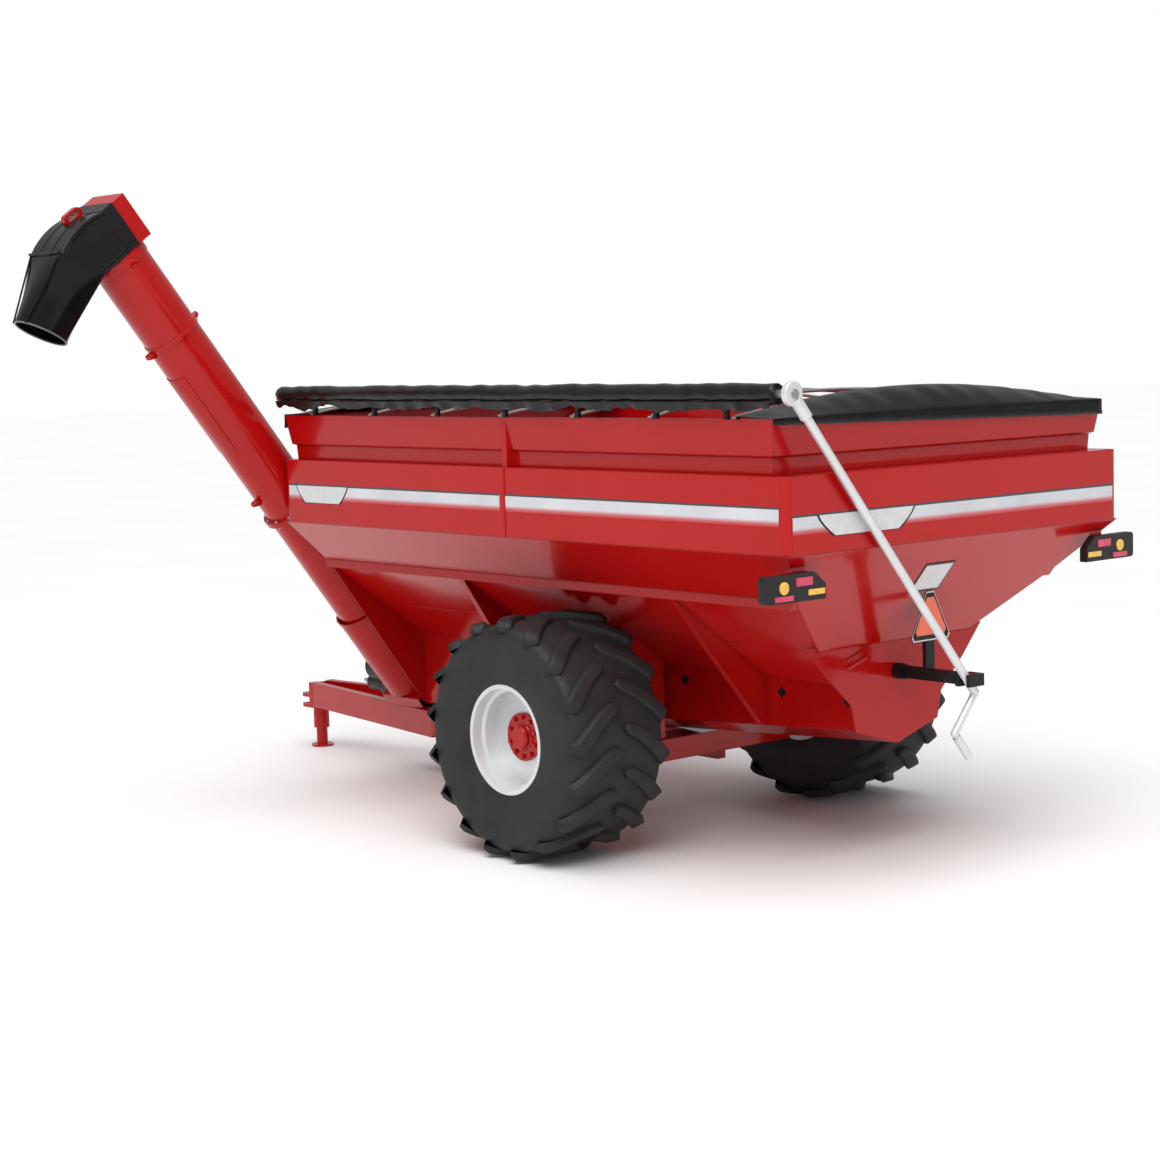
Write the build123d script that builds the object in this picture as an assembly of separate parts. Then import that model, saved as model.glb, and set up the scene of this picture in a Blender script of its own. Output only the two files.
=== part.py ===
"""Grain cart with a single axle, a corner auger that folds and a roll tarp.

Millimetres. The cart is laid out with x = 0 on the axle, y = 0 on the centreline and z = 0
on the ground: +X is to the rear, +Y to the cart's right, +Z up. Every sub-part is then
moved so that the origin is the centre of the hitch-pin bore.
"""
from build123d import *
import math
import os

os.makedirs("parts", exist_ok=True)

# ---------------------------------------------------------------- driving sizes
SHEET = 6.0                 # hopper sheet
PLATE = 8.0                 # gussets and bulkheads
SEAT = 0.3                  # gap between pieces that are seated but move or are soft
RUN = 0.08                  # radial clearance of a running fit

# tank
BELT_HALF = 1850.0          # half width of the middle band
BELT_FRONT = -3170.0
BELT_REAR = 2870.0
BELT_LOW = 2500.0
BELT_HIGH = 3040.0
BELT_CORNER = 60.0          # radius of the corner posts
BELT_RIB_W = 60.0           # stiffening rib at the middle of each side
BELT_RIB_PROUD = 16.0
BELT_RIB_X = -160.0
EXT_FRONT = BELT_FRONT - 25     # the plan rectangle that the extension's profile is measured from
EXT_REAR = BELT_REAR - 105
RIM_Z = 3425.0              # top of the extension
EXT_FOOT_IN = 100.0         # how far in the extension stands at its foot
EXT_TOP_IN = 25.0           # and at its top
EXT_CREASE_Z = 3160.0
EXT_CREASE_STEP = 28.0
RIM_LIP = 40.0              # lip turned inwards along the rim

# hopper cross-section, right-hand side, outer face: half width and height
KNEE = (1420.0, 2110.0)
LAP = (850.0, 1690.0)
LAP_STEP = 8.0
SLOPE_FOOT = (410.0, 1365.0)
TROUGH_FRONT_Z = 730.0      # lower edge of the trough's side wall at the front bulkhead
TROUGH_REAR_Z = 1050.0      # and at the rear plate
TROUGH_DROP = 140.0         # how far the V-shaped floor hangs below its side edges
REAR_X = 2200.0             # inner face of the upright rear plate
BREAK_Z = LAP[1]            # height where the rear wall starts to slope
PLATE_EAR = (990.0, BREAK_Z + 40.0)     # corners of the rear plate, half width and height
PLATE_WAIST = (770.0, 1490.0)
PLATE_HIP = (510.0, 1250.0)
PLATE_FOOT = (460.0, 1040.0)
PLATE_TIP_Z = 905.0
GATE_HALF = 370.0
GATE_HIGH = 1060.0
GATE_GAP = 1.0              # sliding clearance to the bulkhead and the guides
GATE_ROD_TOP = 2330.0

# frame, axle and tongue
RAIL_HALF = 480.0           # outer faces of the frame rails
RAIL_W = 90.0
RAIL_LOW, RAIL_HIGH = 420.0, 660.0
RAIL_WALL = 8.0
TONGUE_REAR = BELT_FRONT + 170      # where the tongue beams meet the rails
TONGUE_FRONT = BELT_FRONT - 2230
TONGUE_TIP_HALF = 145.0
AXLE_Z = 950.0
AXLE_BEAM = (300.0, 180.0)  # length along x, height
AXLE_BEAM_LOW = 580.0
AXLE_END = 930.0            # half length of the beam
AXLE_UPRIGHT = 30.0         # thickness of the spindle plate
SPINDLE_R = 70.0

# hitch and parking stand
SLEEVE_X = TONGUE_FRONT - 80
SLEEVE_R = 79.0
SLEEVE_LOW, SLEEVE_HIGH = 190.0, 530.0
LEG_R = 56.0
LEG_FOOT_R = 110.0
LEG_FOOT_T = 20.0
LEG_TOP = 510.0
HITCH_X = TONGUE_FRONT - 300
HITCH_Z = 450.0
HITCH_BORE_R = 25.5
LUG_T = 35.0
LUG_GAP = 70.0
LUG_R = 58.0

# wheels
TYRE_R = 950.0
TYRE_IN, TYRE_OUT = 1160.0, 2080.0
TYRE_WALL = 45.0
BEAD_R = 406.0
FLANGE_R = 435.0
RIM_WALL = 12.0
RIM_IN, RIM_OUT = 1190.0, 2035.0
DISC_Y = 1830.0             # outer face of the wheel disc
DISC_T = 16.0
HUB_FLANGE_R = 190.0
HUB_FLANGE_T = 20.0
HUB_JOURNAL_R = 50.0
HUB_JOURNAL_END = 1790.0
HUB_R = 110.0
HUB_CAP_R = 92.0
HUB_CAP_OUT = 1900.0
NUT_COUNT = 10
NUT_CIRCLE_R = 155.0
NUT_R = 19.0
NUT_T = 22.0

# auger: both sections lie in one upright plane in front of the tank
AUGER_X = BELT_FRONT - 310
AUGER_FOOT_Y, AUGER_FOOT_Z = -300.0, 903.0
AUGER_LEAN = math.degrees(math.atan2(3, 4))     # from upright, to the left
TUBE_R = 245.0
TUBE_WALL = 6.0
FOLD_S = 2130.0             # distances along the auger from its foot
HEAD_S = 4900.0
HEAD_TOP_S = 5310.0
FLANGE_T = 24.0
FOLD_FLANGE_R = 284.0
HINGE_OFF = 335.0           # fold hinge axis from the tube's axis
HINGE_R = 38.0
HINGE_PIN_R = 20.0
HEAD_HALF = 250.0           # discharge head, half width along x
HEAD_BACK = 262.0
SCREW_R = 220.0
SCREW_SHAFT_R = 45.0
SCREW_PITCH = 420.0
SCREW_BLADE = 10.0
SCREW_FOOT = 190.0          # how far the lower shaft runs below the tube
BEARING_R = 78.0
SPIDER_T = 20.0
FLOOR_SCREW_R = 180.0
FLOOR_SHAFT_R = 40.0
FLOOR_SCREW_RISE = 210.0    # axis above the floor's V

# drive at the auger's foot; lobe centres are (y, z)
GEAR_FRONT = AUGER_X - TUBE_R - 215.0
GEAR_UPPER, GEAR_UPPER_R = (-400.0, 1000.0), 130.0
GEAR_LOWER, GEAR_LOWER_R = (-290.0, 815.0), 112.0
GEAR_STEP = 30.0            # the lower lobe stands back by this much
GEAR_BOSS = 12.0
PTO_R = 22.0
PTO_L = 330.0
PTO_INSIDE = 150.0
GUARD_R = 80.0
GUARD_L = 202.0

# hood and spout, as (distance out, distance up) in the auger's frame
HOOD_OUT_TOP = (510.0, 5280.0)
HOOD_OUT_LOW = (317.0, HEAD_S)
HOOD_CROWN = (270.0, 5345.0)
SPOUT_L = 615.0
SPOUT_MOUTH = (200.0, 230.0)    # half sizes of the round mouth
SPOUT_WALL = 10.0
SPOUT_HINGE_R = 12.0
SPOUT_HINGE_OFF = 11.0      # hinge axis above the hood's top corner
SPOUT_HINGE_MID = 90.0      # half length of the spout's own knuckle
SPOUT_PIN_R = 5.0

# tarp and crank
ROLL_R = 87.0
ROLL_Y = -1830.0
ROLL_Z = 3600.0
ROLL_FRONT, ROLL_REAR = -3185.0, 2800.0
BOW_COUNT = 7
BOW_R = 14.0
BOW_CROWN_Z = 3565.0
CAP_T = 8.0
CAP_REACH = 370.0           # how far each end cap runs in over the tank
CAP_SKIRT = 120.0
BOW_FIRST = EXT_FRONT + EXT_TOP_IN + CAP_REACH + BOW_R + 2     # just inside the end caps
BOW_LAST = EXT_REAR - EXT_TOP_IN - CAP_REACH - BOW_R - 2
CRANK_X = 2930.0
CRANK_R = 32.0
CLIP_Y, CLIP_Z = -30.0, 1430.0
CRANK_BELOW = 100.0         # rod left below the clip
CRANK_THROW = 355.0
GRIP_L = 250.0
KNUCKLE_R = 85.0
KNUCKLE_T = 50.0
SOCKET_L = 210.0            # the rod's socket, measured from the roll's axis
SOCKET_BORE_FROM = 110.0
STUB_R = 30.0               # steel tube inside the roll, and its stub shaft

# lamps and sign
LAMP_IN, LAMP_OUT = 1465.0, 2058.0
LAMP_LOW, LAMP_HIGH = 2186.0, 2380.0
LAMP_FRONT, LAMP_REAR = 2800.0, 2868.0
LENS_T = 8.0
SIGN_X = 2545.0
SIGN_HALF = 215.0
SIGN_LOW, SIGN_HIGH = 1710.0, 2080.0
BAR_LOW, BAR_HIGH = 1410.0, 1500.0
BAR_HALF = 25.0


# ---------------------------------------------------------------- helpers
def save(name, *shapes):
    """Move solids to the hitch-pin frame and write them as one node."""
    solids = []
    for shape in shapes:
        solids.extend(shape.solids())
    group = Compound(children=[Pos(-HITCH_X, 0, -HITCH_Z) * s for s in solids])
    export_step(group, f"parts/{name}.step")


def box(x, y, z):
    """A box from its low and high values along each axis."""
    size = [b - a for a, b in (x, y, z)]
    centre = [(a + b) / 2 for a, b in (x, y, z)]
    return Pos(*centre) * Box(*size)


def prism_x(points, x0, x1):
    """Extrude a (y, z) outline along x."""
    face = make_face(Polyline(*[(x0, y, z) for y, z in points], close=True))
    return extrude(face, amount=x1 - x0, dir=(1, 0, 0))


def prism_y(points, y0, y1):
    """Extrude an (x, z) outline along y."""
    face = make_face(Polyline(*[(x, y0, z) for x, z in points], close=True))
    return extrude(face, amount=y1 - y0, dir=(0, 1, 0))


def prism_z(points, z0, z1):
    """Extrude an (x, y) outline along z."""
    face = make_face(Polyline(*[(x, y, z0) for x, y in points], close=True))
    return extrude(face, amount=z1 - z0, dir=(0, 0, 1))


def flip(shape):
    """The mirror image on the other side of the centreline."""
    return mirror(shape, about=Plane.XZ)


def rod(start, end, radius, bore=0.0):
    """A round bar or tube between two points."""
    a, b = Vector(*start), Vector(*end)
    plane = Plane(origin=a, z_dir=(b - a).normalized())
    length = (b - a).length
    body = extrude(plane * Circle(radius), amount=length)
    if bore:
        body -= extrude(plane * Circle(bore), amount=length)
    return body


def knee_at(z):
    """Outer half width of the hopper between the belt and the slope's foot."""
    if z >= KNEE[1]:
        low, high = KNEE, (BELT_HALF, BELT_LOW)
    elif z >= LAP[1]:
        low, high = LAP, KNEE
    else:
        low, high = SLOPE_FOOT, (LAP[0] - LAP_STEP, LAP[1])
    return low[0] + (z - low[1]) / (high[1] - low[1]) * (high[0] - low[0])


# ---------------------------------------------------------------- sloping rear wall
REAR_TOP_INNER = BELT_REAR - SHEET * 1.3
REAR_RUN = (REAR_TOP_INNER - REAR_X) / (BELT_LOW - BREAK_Z)
REAR_ALONG = SHEET * 1.3    # thickness of the sloping sheet measured along x
FRONT_IN = BELT_FRONT + SHEET


def rear_inner(z):
    """x of the rear wall's inner face."""
    return REAR_X + max(z - BREAK_Z, 0.0) * REAR_RUN


def rear_outer(z):
    """x of the rear wall's outer face, above the break."""
    return rear_inner(z) + REAR_ALONG


def inside_length():
    """Everything between the front bulkhead and the rear wall's inner face."""
    outline = [
        (FRONT_IN, 0), (REAR_X, 0), (REAR_X, BREAK_Z),
        (rear_inner(BELT_LOW), BELT_LOW), (FRONT_IN, BELT_LOW),
    ]
    return prism_y(outline, -2500, 2500)


def leaning_sheet(top, low, thickness):
    """One sheet of the hopper's right side, with level upper and lower edges."""
    rise, run = top[1] - low[1], top[0] - low[0]
    shift = thickness * math.hypot(rise, run) / rise
    outline = [top, low, (low[0] - shift, low[1]), (top[0] - shift, top[1])]
    return prism_x(outline, BELT_FRONT - 100, BELT_REAR + 100) & inside_length()


# ---------------------------------------------------------------- tank
def belt_side():
    """Right side of the middle band, with its ledge and its rib."""
    wall = box((BELT_FRONT + BELT_CORNER, BELT_REAR - BELT_CORNER),
               (BELT_HALF - SHEET, BELT_HALF), (BELT_LOW, BELT_HIGH))
    ledge = box((BELT_FRONT + BELT_CORNER, BELT_REAR - BELT_CORNER),
                (BELT_HALF - EXT_FOOT_IN - 20, BELT_HALF), (BELT_HIGH - SHEET, BELT_HIGH))
    rib = box((BELT_RIB_X - BELT_RIB_W / 2, BELT_RIB_X + BELT_RIB_W / 2),
              (BELT_HALF - SHEET, BELT_HALF + BELT_RIB_PROUD), (BELT_LOW, BELT_HIGH))
    rib = chamfer(rib.edges().filter_by(Axis.Z).sort_by(Axis.Y)[-2:], 10)
    return wall + ledge + rib


def belt_end(x_outer, x_inner, ledge_to):
    """Front or rear of the middle band, with its ledge."""
    half = BELT_HALF - BELT_CORNER
    ledge_half = BELT_HALF - EXT_FOOT_IN - 20
    wall = box(sorted((x_outer, x_inner)), (-half, half), (BELT_LOW, BELT_HIGH))
    ledge = box(sorted((x_outer, ledge_to)), (-ledge_half, ledge_half),
                (BELT_HIGH - SHEET, BELT_HIGH))
    return wall + ledge


def corner_post(x, y, x_sign, y_sign):
    """Quarter-round post that joins two sides of the middle band."""
    centre = Pos(x - x_sign * BELT_CORNER, y - y_sign * BELT_CORNER, BELT_LOW)
    height = BELT_HIGH - BELT_LOW
    ring = Cylinder(BELT_CORNER, height, align=(Align.CENTER, Align.CENTER, Align.MIN))
    ring -= Cylinder(BELT_CORNER - SHEET, height - SHEET,
                     align=(Align.CENTER, Align.CENTER, Align.MIN))
    half = BELT_CORNER / 2
    quarter = Pos(x_sign * half, y_sign * half, height / 2) * Box(
        BELT_CORNER, BELT_CORNER, height)
    return centre * (ring & quarter)


def extension_profile():
    """(inset, z) outline of the extension's sheet, its crease and its rim lip."""
    wall = SHEET
    step_in = EXT_FOOT_IN - (EXT_FOOT_IN - EXT_TOP_IN) * 0.1
    outer = [
        (EXT_FOOT_IN, BELT_HIGH), (step_in, EXT_CREASE_Z),
        (step_in - EXT_CREASE_STEP, EXT_CREASE_Z + EXT_CREASE_STEP / 2),
        (EXT_TOP_IN, RIM_Z),
    ]
    inner = [
        (EXT_TOP_IN + RIM_LIP, RIM_Z), (EXT_TOP_IN + RIM_LIP, RIM_Z - wall),
        (EXT_TOP_IN + wall + 1, RIM_Z - wall),
        (step_in - EXT_CREASE_STEP + wall, EXT_CREASE_Z + EXT_CREASE_STEP / 2 + wall),
        (step_in + wall, EXT_CREASE_Z + wall / 2), (EXT_FOOT_IN + wall, BELT_HIGH),
    ]
    return outer + inner


def extension_side():
    """Right side of the extension, mitred at 45 degrees at both ends."""
    outline = [(BELT_HALF - inset, z) for inset, z in extension_profile()]
    wall = prism_x(outline, EXT_FRONT - 100, EXT_REAR + 100)
    keep = [
        (EXT_FRONT - 100, BELT_HALF + 100), (EXT_REAR + 100, BELT_HALF + 100),
        (EXT_REAR - 400, BELT_HALF - 400), (EXT_FRONT + 400, BELT_HALF - 400),
    ]
    rib = box((BELT_RIB_X - BELT_RIB_W / 2, BELT_RIB_X + BELT_RIB_W / 2),
              (BELT_HALF - EXT_FOOT_IN - SHEET, BELT_HALF - EXT_TOP_IN - 4),
              (BELT_HIGH, RIM_Z - 10))
    hollow = prism_x([(BELT_HALF - inset, z) for inset, z in extension_profile()[:4]]
                     + [(BELT_HALF - 400, RIM_Z), (BELT_HALF - 400, BELT_HIGH)],
                     EXT_FRONT, EXT_REAR)
    return (wall & prism_z(keep, BELT_HIGH, RIM_Z)) + (rib - hollow)


def extension_end(x_plan, inward):
    """Front or rear of the extension; inward is +1 or -1 along x."""
    outline = [(x_plan + inward * inset, z) for inset, z in extension_profile()]
    wall = prism_y(outline, -BELT_HALF - 100, BELT_HALF + 100)
    keep = [
        (x_plan - inward * 100, BELT_HALF + 100), (x_plan - inward * 100, -BELT_HALF - 100),
        (x_plan + inward * 400, -BELT_HALF + 400), (x_plan + inward * 400, BELT_HALF - 400),
    ]
    return wall & prism_z(keep, BELT_HIGH, RIM_Z)


def rear_wall():
    """Sloping sheet between the belt and the upright rear plate."""
    outline = [(rear_inner(BREAK_Z), BREAK_Z), (rear_outer(BREAK_Z), BREAK_Z),
               (rear_outer(BELT_LOW), BELT_LOW), (rear_inner(BELT_LOW), BELT_LOW)]
    half = [(0, BREAK_Z), (LAP[0], BREAK_Z), KNEE, (BELT_HALF, BELT_LOW), (0, BELT_LOW)]
    slab = prism_y(outline, -BELT_HALF, BELT_HALF)
    right = prism_x(half, REAR_X - 50, BELT_REAR + 50)
    return slab & (right + flip(right))


def rear_plate():
    """Upright plate that closes the trough and stands proud of the hopper as two ears."""
    right = [(0, PLATE_TIP_Z), PLATE_FOOT, PLATE_HIP, PLATE_WAIST, PLATE_EAR,
             (knee_at(PLATE_EAR[1]), PLATE_EAR[1]), (LAP[0], BREAK_Z), (0, BREAK_Z)]
    half = prism_x(right, REAR_X, REAR_X + PLATE)
    plate = half + flip(half)
    for z in (1590, 1530):
        rib = rod((REAR_X + PLATE, -560, z), (REAR_X + PLATE, -330, z + 70), 14)
        plate += rib & box((REAR_X + PLATE - 2, REAR_X + 60), (-700, 0), (1300, 1680))
    return plate


def front_bulkhead():
    """Front wall of the hopper, carried on past the slopes as two gussets."""
    right = [(0, trough_z(FRONT_IN) - TROUGH_DROP - 10), (RAIL_HALF - 60, 720),
             KNEE, (BELT_HALF, BELT_LOW), (0, BELT_LOW)]
    half = prism_x(right, BELT_FRONT, FRONT_IN)
    plate = half + flip(half)
    mouth = box((BELT_FRONT - 1, FRONT_IN + 1), (-320, 320), (690, 1040))
    return plate - mouth


def edge_flange(y0, z0, y1, z1, x0, x1):
    """Flange along a gusset's free edge, on the right-hand side."""
    length = math.hypot(y1 - y0, z1 - z0)
    out_y, out_z = (z1 - z0) / length * SHEET, -(y1 - y0) / length * SHEET
    outline = [(y0, z0), (y1, z1), (y1 + out_y, z1 + out_z), (y0 + out_y, z0 + out_z)]
    return prism_x(outline, x0, x1)


def trough_z(x):
    """Lower edge of the trough's side wall."""
    slope = (TROUGH_REAR_Z - TROUGH_FRONT_Z) / (REAR_X - BELT_FRONT)
    return TROUGH_FRONT_Z + (x - BELT_FRONT) * slope


def trough_wall():
    """Right wall of the trough."""
    outline = [(FRONT_IN, trough_z(FRONT_IN)), (REAR_X, trough_z(REAR_X)),
               (REAR_X, SLOPE_FOOT[1]), (FRONT_IN, SLOPE_FOOT[1])]
    return prism_y(outline, SLOPE_FOOT[0] - SHEET, SLOPE_FOOT[0])


def down_trough(points, x0=FRONT_IN, x1=REAR_X):
    """Extrude a (y, z) outline drawn at x0 along the trough's sloping floor."""
    rise = trough_z(x1) - trough_z(x0)
    way = Vector(x1 - x0, 0, rise)
    face = make_face(Polyline(*[(x0, y, z) for y, z in points], close=True))
    return extrude(face, amount=way.length, dir=way.normalized())


def trough_floor():
    """V-shaped floor of the trough."""
    z, drop, half = trough_z(FRONT_IN), TROUGH_DROP, SLOPE_FOOT[0]
    points = [(-half, z), (0, z - drop), (half, z), (half, z - SHEET),
              (0, z - drop - SHEET), (-half, z - SHEET)]
    return down_trough(points)


def gusset(x, low_z, reach_y):
    """Right-hand transverse gusset under the slopes, with its edge flange."""
    top_z = KNEE[1] - 40
    outline = [
        (knee_at(top_z), top_z), (knee_at(top_z) + 30, top_z), (reach_y, low_z),
        (SLOPE_FOOT[0], low_z), SLOPE_FOOT, (LAP[0] - LAP_STEP, LAP[1]), LAP,
    ]
    plate = prism_x(outline, x - PLATE / 2, x + PLATE / 2)
    lip = edge_flange(reach_y, low_z, knee_at(top_z) + 30, top_z, x - 30, x + 30)
    return plate + lip


def ridge_rail():
    """Rail that runs along the knee between the side sheet and the slope."""
    low = KNEE[1] - 40
    outline = [KNEE, (knee_at(KNEE[1] + 36), KNEE[1] + 36),
               (knee_at(KNEE[1] + 36), low), (knee_at(low), low)]
    return prism_x(outline, FRONT_IN, BELT_REAR) & inside_length()


def flow_gate():
    """Sliding plate over the bulkhead's mouth, with its lifting rod."""
    x0 = FRONT_IN + GATE_GAP
    edge = trough_z(x0) - TROUGH_DROP * (1 - GATE_HALF / SLOPE_FOOT[0]) + 4
    outline = [(0, trough_z(x0) - TROUGH_DROP + 4), (GATE_HALF, edge),
               (GATE_HALF, GATE_HIGH), (-GATE_HALF, GATE_HIGH), (-GATE_HALF, edge)]
    plate = prism_x(outline, x0, x0 + PLATE)
    lug = box((x0, x0 + 40), (-30, 30), (GATE_HIGH - 60, GATE_HIGH))
    return plate + lug + rod((x0 + 24, 0, GATE_HIGH - 20), (x0 + 24, 0, GATE_ROD_TOP), 12)


def gate_guide():
    """Right-hand angle that the gate's edge slides in."""
    x0, x1 = FRONT_IN, FRONT_IN + GATE_GAP * 2 + PLATE
    wall = SLOPE_FOOT[0] - SHEET
    side = box((x0, x1 + 6), (GATE_HALF + GATE_GAP, wall), (760, SLOPE_FOOT[1]))
    return side + box((x1, x1 + 6), (GATE_HALF - 25, wall), (760, SLOPE_FOOT[1]))


def gate_rod_guide():
    """Eye on the bulkhead that steadies the lifting rod."""
    x = FRONT_IN + GATE_GAP + 24
    block = box((FRONT_IN, x + 30), (-35, 35), (2200, 2250))
    return block - rod((x, 0, 2190), (x, 0, 2260), 12 + RUN)


def floor_axis(x):
    """Height of the floor screw's axis, which runs level with the trough's floor."""
    return trough_z(x) - TROUGH_DROP + FLOOR_SCREW_RISE


def floor_bore():
    """Bore of the floor screw's two bearings."""
    x0, x1 = FRONT_IN, REAR_X - 8
    return rod((x0, 0, floor_axis(x0)), (x1, 0, floor_axis(x1)), FLOOR_SHAFT_R + RUN)


def floor_bearings():
    """Hanger across the front of the trough, and the block on the rear plate."""
    wall = SLOPE_FOOT[0] - SHEET
    x0 = FRONT_IN + 70
    hanger = box((x0, x0 + 30), (-wall, wall), (floor_axis(x0) - 30, floor_axis(x0) + 60))
    hanger += box((x0, x0 + 30), (-70, 70), (floor_axis(x0) - 70, floor_axis(x0) + 70))
    block = box((REAR_X - 50, REAR_X), (-75, 75),
                (floor_axis(REAR_X) - 75, floor_axis(REAR_X) + 75))
    return [hanger - floor_bore(), block - floor_bore()]


# ---------------------------------------------------------------- frame
def beam_plan(y_front, y_rear):
    """Plan corners of a tongue beam whose outer faces are at the given half widths."""
    return [(TONGUE_FRONT, y_front), (TONGUE_FRONT, y_front - RAIL_W),
            (TONGUE_REAR, y_rear - RAIL_W), (TONGUE_REAR, y_rear)]


def tongue_beam():
    """Right-hand tongue beam, a closed box section."""
    outer = prism_z(beam_plan(TONGUE_TIP_HALF, RAIL_HALF), RAIL_LOW, RAIL_HIGH)
    w = RAIL_WALL
    hollow = [(TONGUE_FRONT + w, TONGUE_TIP_HALF - w), (TONGUE_FRONT + w, TONGUE_TIP_HALF - RAIL_W + w),
              (TONGUE_REAR - w, RAIL_HALF - RAIL_W + w), (TONGUE_REAR - w, RAIL_HALF - w)]
    return outer - prism_z(hollow, RAIL_LOW + w, RAIL_HIGH - w)


def frame_rail():
    """Right-hand rail between the tongue and the axle beam."""
    y0, y1, w = RAIL_HALF - RAIL_W, RAIL_HALF, RAIL_WALL
    x1 = -AXLE_BEAM[0] / 2
    outer = box((TONGUE_REAR, x1), (y0, y1), (RAIL_LOW + 20, RAIL_HIGH))
    return outer - box((TONGUE_REAR + w, x1 - w), (y0 + w, y1 - w),
                       (RAIL_LOW + 20 + w, RAIL_HIGH - w))


def cross_members():
    """Channels between the two rails, under the trough."""
    half = RAIL_HALF - RAIL_W
    return [box((x, x + 100), (-half, half), (RAIL_LOW + 30, RAIL_LOW + 130))
            for x in (TONGUE_REAR + 20, -1900, -900)]


def axle_beam():
    """Dropped axle beam with an upright plate at each end for the spindle."""
    half_x = AXLE_BEAM[0] / 2
    top = AXLE_BEAM_LOW + AXLE_BEAM[1]
    beam = box((-half_x, half_x), (-AXLE_END, AXLE_END), (AXLE_BEAM_LOW, top))
    beam -= box((-half_x + 12, half_x - 12), (-AXLE_END, AXLE_END),
                (AXLE_BEAM_LOW + 12, top - 12))
    end = box((-half_x, half_x), (AXLE_END, AXLE_END + AXLE_UPRIGHT),
              (AXLE_BEAM_LOW, AXLE_Z + 150))
    return beam + end + flip(end)


def spindle():
    """Right-hand spindle: a stub that steps down to the hub's journal."""
    face = AXLE_END + AXLE_UPRIGHT
    stub = rod((0, face, AXLE_Z), (0, 1480, AXLE_Z), SPINDLE_R)
    flange = rod((0, face, AXLE_Z), (0, face + 20, AXLE_Z), SPINDLE_R + 50)
    journal = rod((0, 1480, AXLE_Z), (0, HUB_JOURNAL_END, AXLE_Z), HUB_JOURNAL_R)
    return stub + flange + journal


def axle_stand(x):
    """Right-hand upright plate between the axle beam and the slopes."""
    base = AXLE_BEAM_LOW + AXLE_BEAM[1]
    lower_z = SLOPE_FOOT[1] + 30
    edge = AXLE_END - 30
    rise = (KNEE[1] - LAP[1]) / (KNEE[0] - LAP[0])
    outline = [(knee_at(lower_z), base), (edge, base), (edge, LAP[1] + (edge - LAP[0]) * rise),
               LAP, (LAP[0] - LAP_STEP, LAP[1]), (knee_at(lower_z), lower_z)]
    return prism_x(outline, x - PLATE / 2, x + PLATE / 2)


def hitch_head():
    """Head of the tongue: end block, stand sleeve and the two clevis lugs."""
    block = box((SLEEVE_X + 10, TONGUE_FRONT), (-TONGUE_TIP_HALF, TONGUE_TIP_HALF),
                (RAIL_LOW, RAIL_HIGH))
    height = SLEEVE_HIGH - SLEEVE_LOW
    sleeve = Pos(SLEEVE_X, 0, (SLEEVE_LOW + SLEEVE_HIGH) / 2) * Cylinder(SLEEVE_R, height)
    head = block + sleeve
    for sign in (-1, 1):
        mid = HITCH_Z + sign * (LUG_GAP + LUG_T) / 2
        z = (mid - LUG_T / 2, mid + LUG_T / 2)
        head += box((HITCH_X, SLEEVE_X), (-LUG_R, LUG_R), z)
        head += Pos(HITCH_X, 0, mid) * Cylinder(LUG_R, LUG_T)
    head -= Pos(HITCH_X, 0, HITCH_Z) * Cylinder(HITCH_BORE_R, 400)
    return head - Pos(SLEEVE_X, 0, HITCH_Z) * Cylinder(LEG_R + RUN, 900)


def stand_leg():
    """Sliding parking leg with its foot plate."""
    leg = Pos(SLEEVE_X, 0, (LEG_FOOT_T + LEG_TOP) / 2) * Cylinder(LEG_R, LEG_TOP - LEG_FOOT_T)
    foot = Pos(SLEEVE_X, 0, LEG_FOOT_T / 2) * Cylinder(LEG_FOOT_R, LEG_FOOT_T)
    return leg + foot


# ---------------------------------------------------------------- wheels
def turned(points):
    """Turn an (r, y) outline about the axle."""
    face = make_face(Polyline(*[(r, y, AXLE_Z) for r, y in points], close=True))
    return revolve(face, axis=Axis((0, 0, AXLE_Z), (0, 1, 0)))


def tyre():
    """Right-hand tyre carcass, hollow, out to the tips of the tread bars."""
    wall = TYRE_WALL
    outer = [(BEAD_R, RIM_IN + 30), (FLANGE_R, RIM_IN + 14), (FLANGE_R + 60, TYRE_IN + 20),
             (700, TYRE_IN),
             (TYRE_R - 60, TYRE_IN + 12), (TYRE_R, TYRE_IN + 60), (TYRE_R, TYRE_OUT - 60),
             (TYRE_R - 60, TYRE_OUT - 12), (700, TYRE_OUT), (FLANGE_R + 60, TYRE_OUT - 20),
             (FLANGE_R, RIM_OUT - 14), (BEAD_R, RIM_OUT - 30)]
    inner = [(BEAD_R, RIM_OUT - 30 - wall), (FLANGE_R + 60, TYRE_OUT - 20 - wall),
             (700, TYRE_OUT - wall), (TYRE_R - 60 - wall, TYRE_OUT - 20 - wall),
             (TYRE_R - 100, TYRE_OUT - 130), (TYRE_R - 100, TYRE_IN + 130),
             (TYRE_R - 60 - wall, TYRE_IN + 20 + wall), (700, TYRE_IN + wall),
             (FLANGE_R + 60, TYRE_IN + 20 + wall), (BEAD_R, RIM_IN + 30 + wall)]
    return turned(outer + inner)


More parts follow.
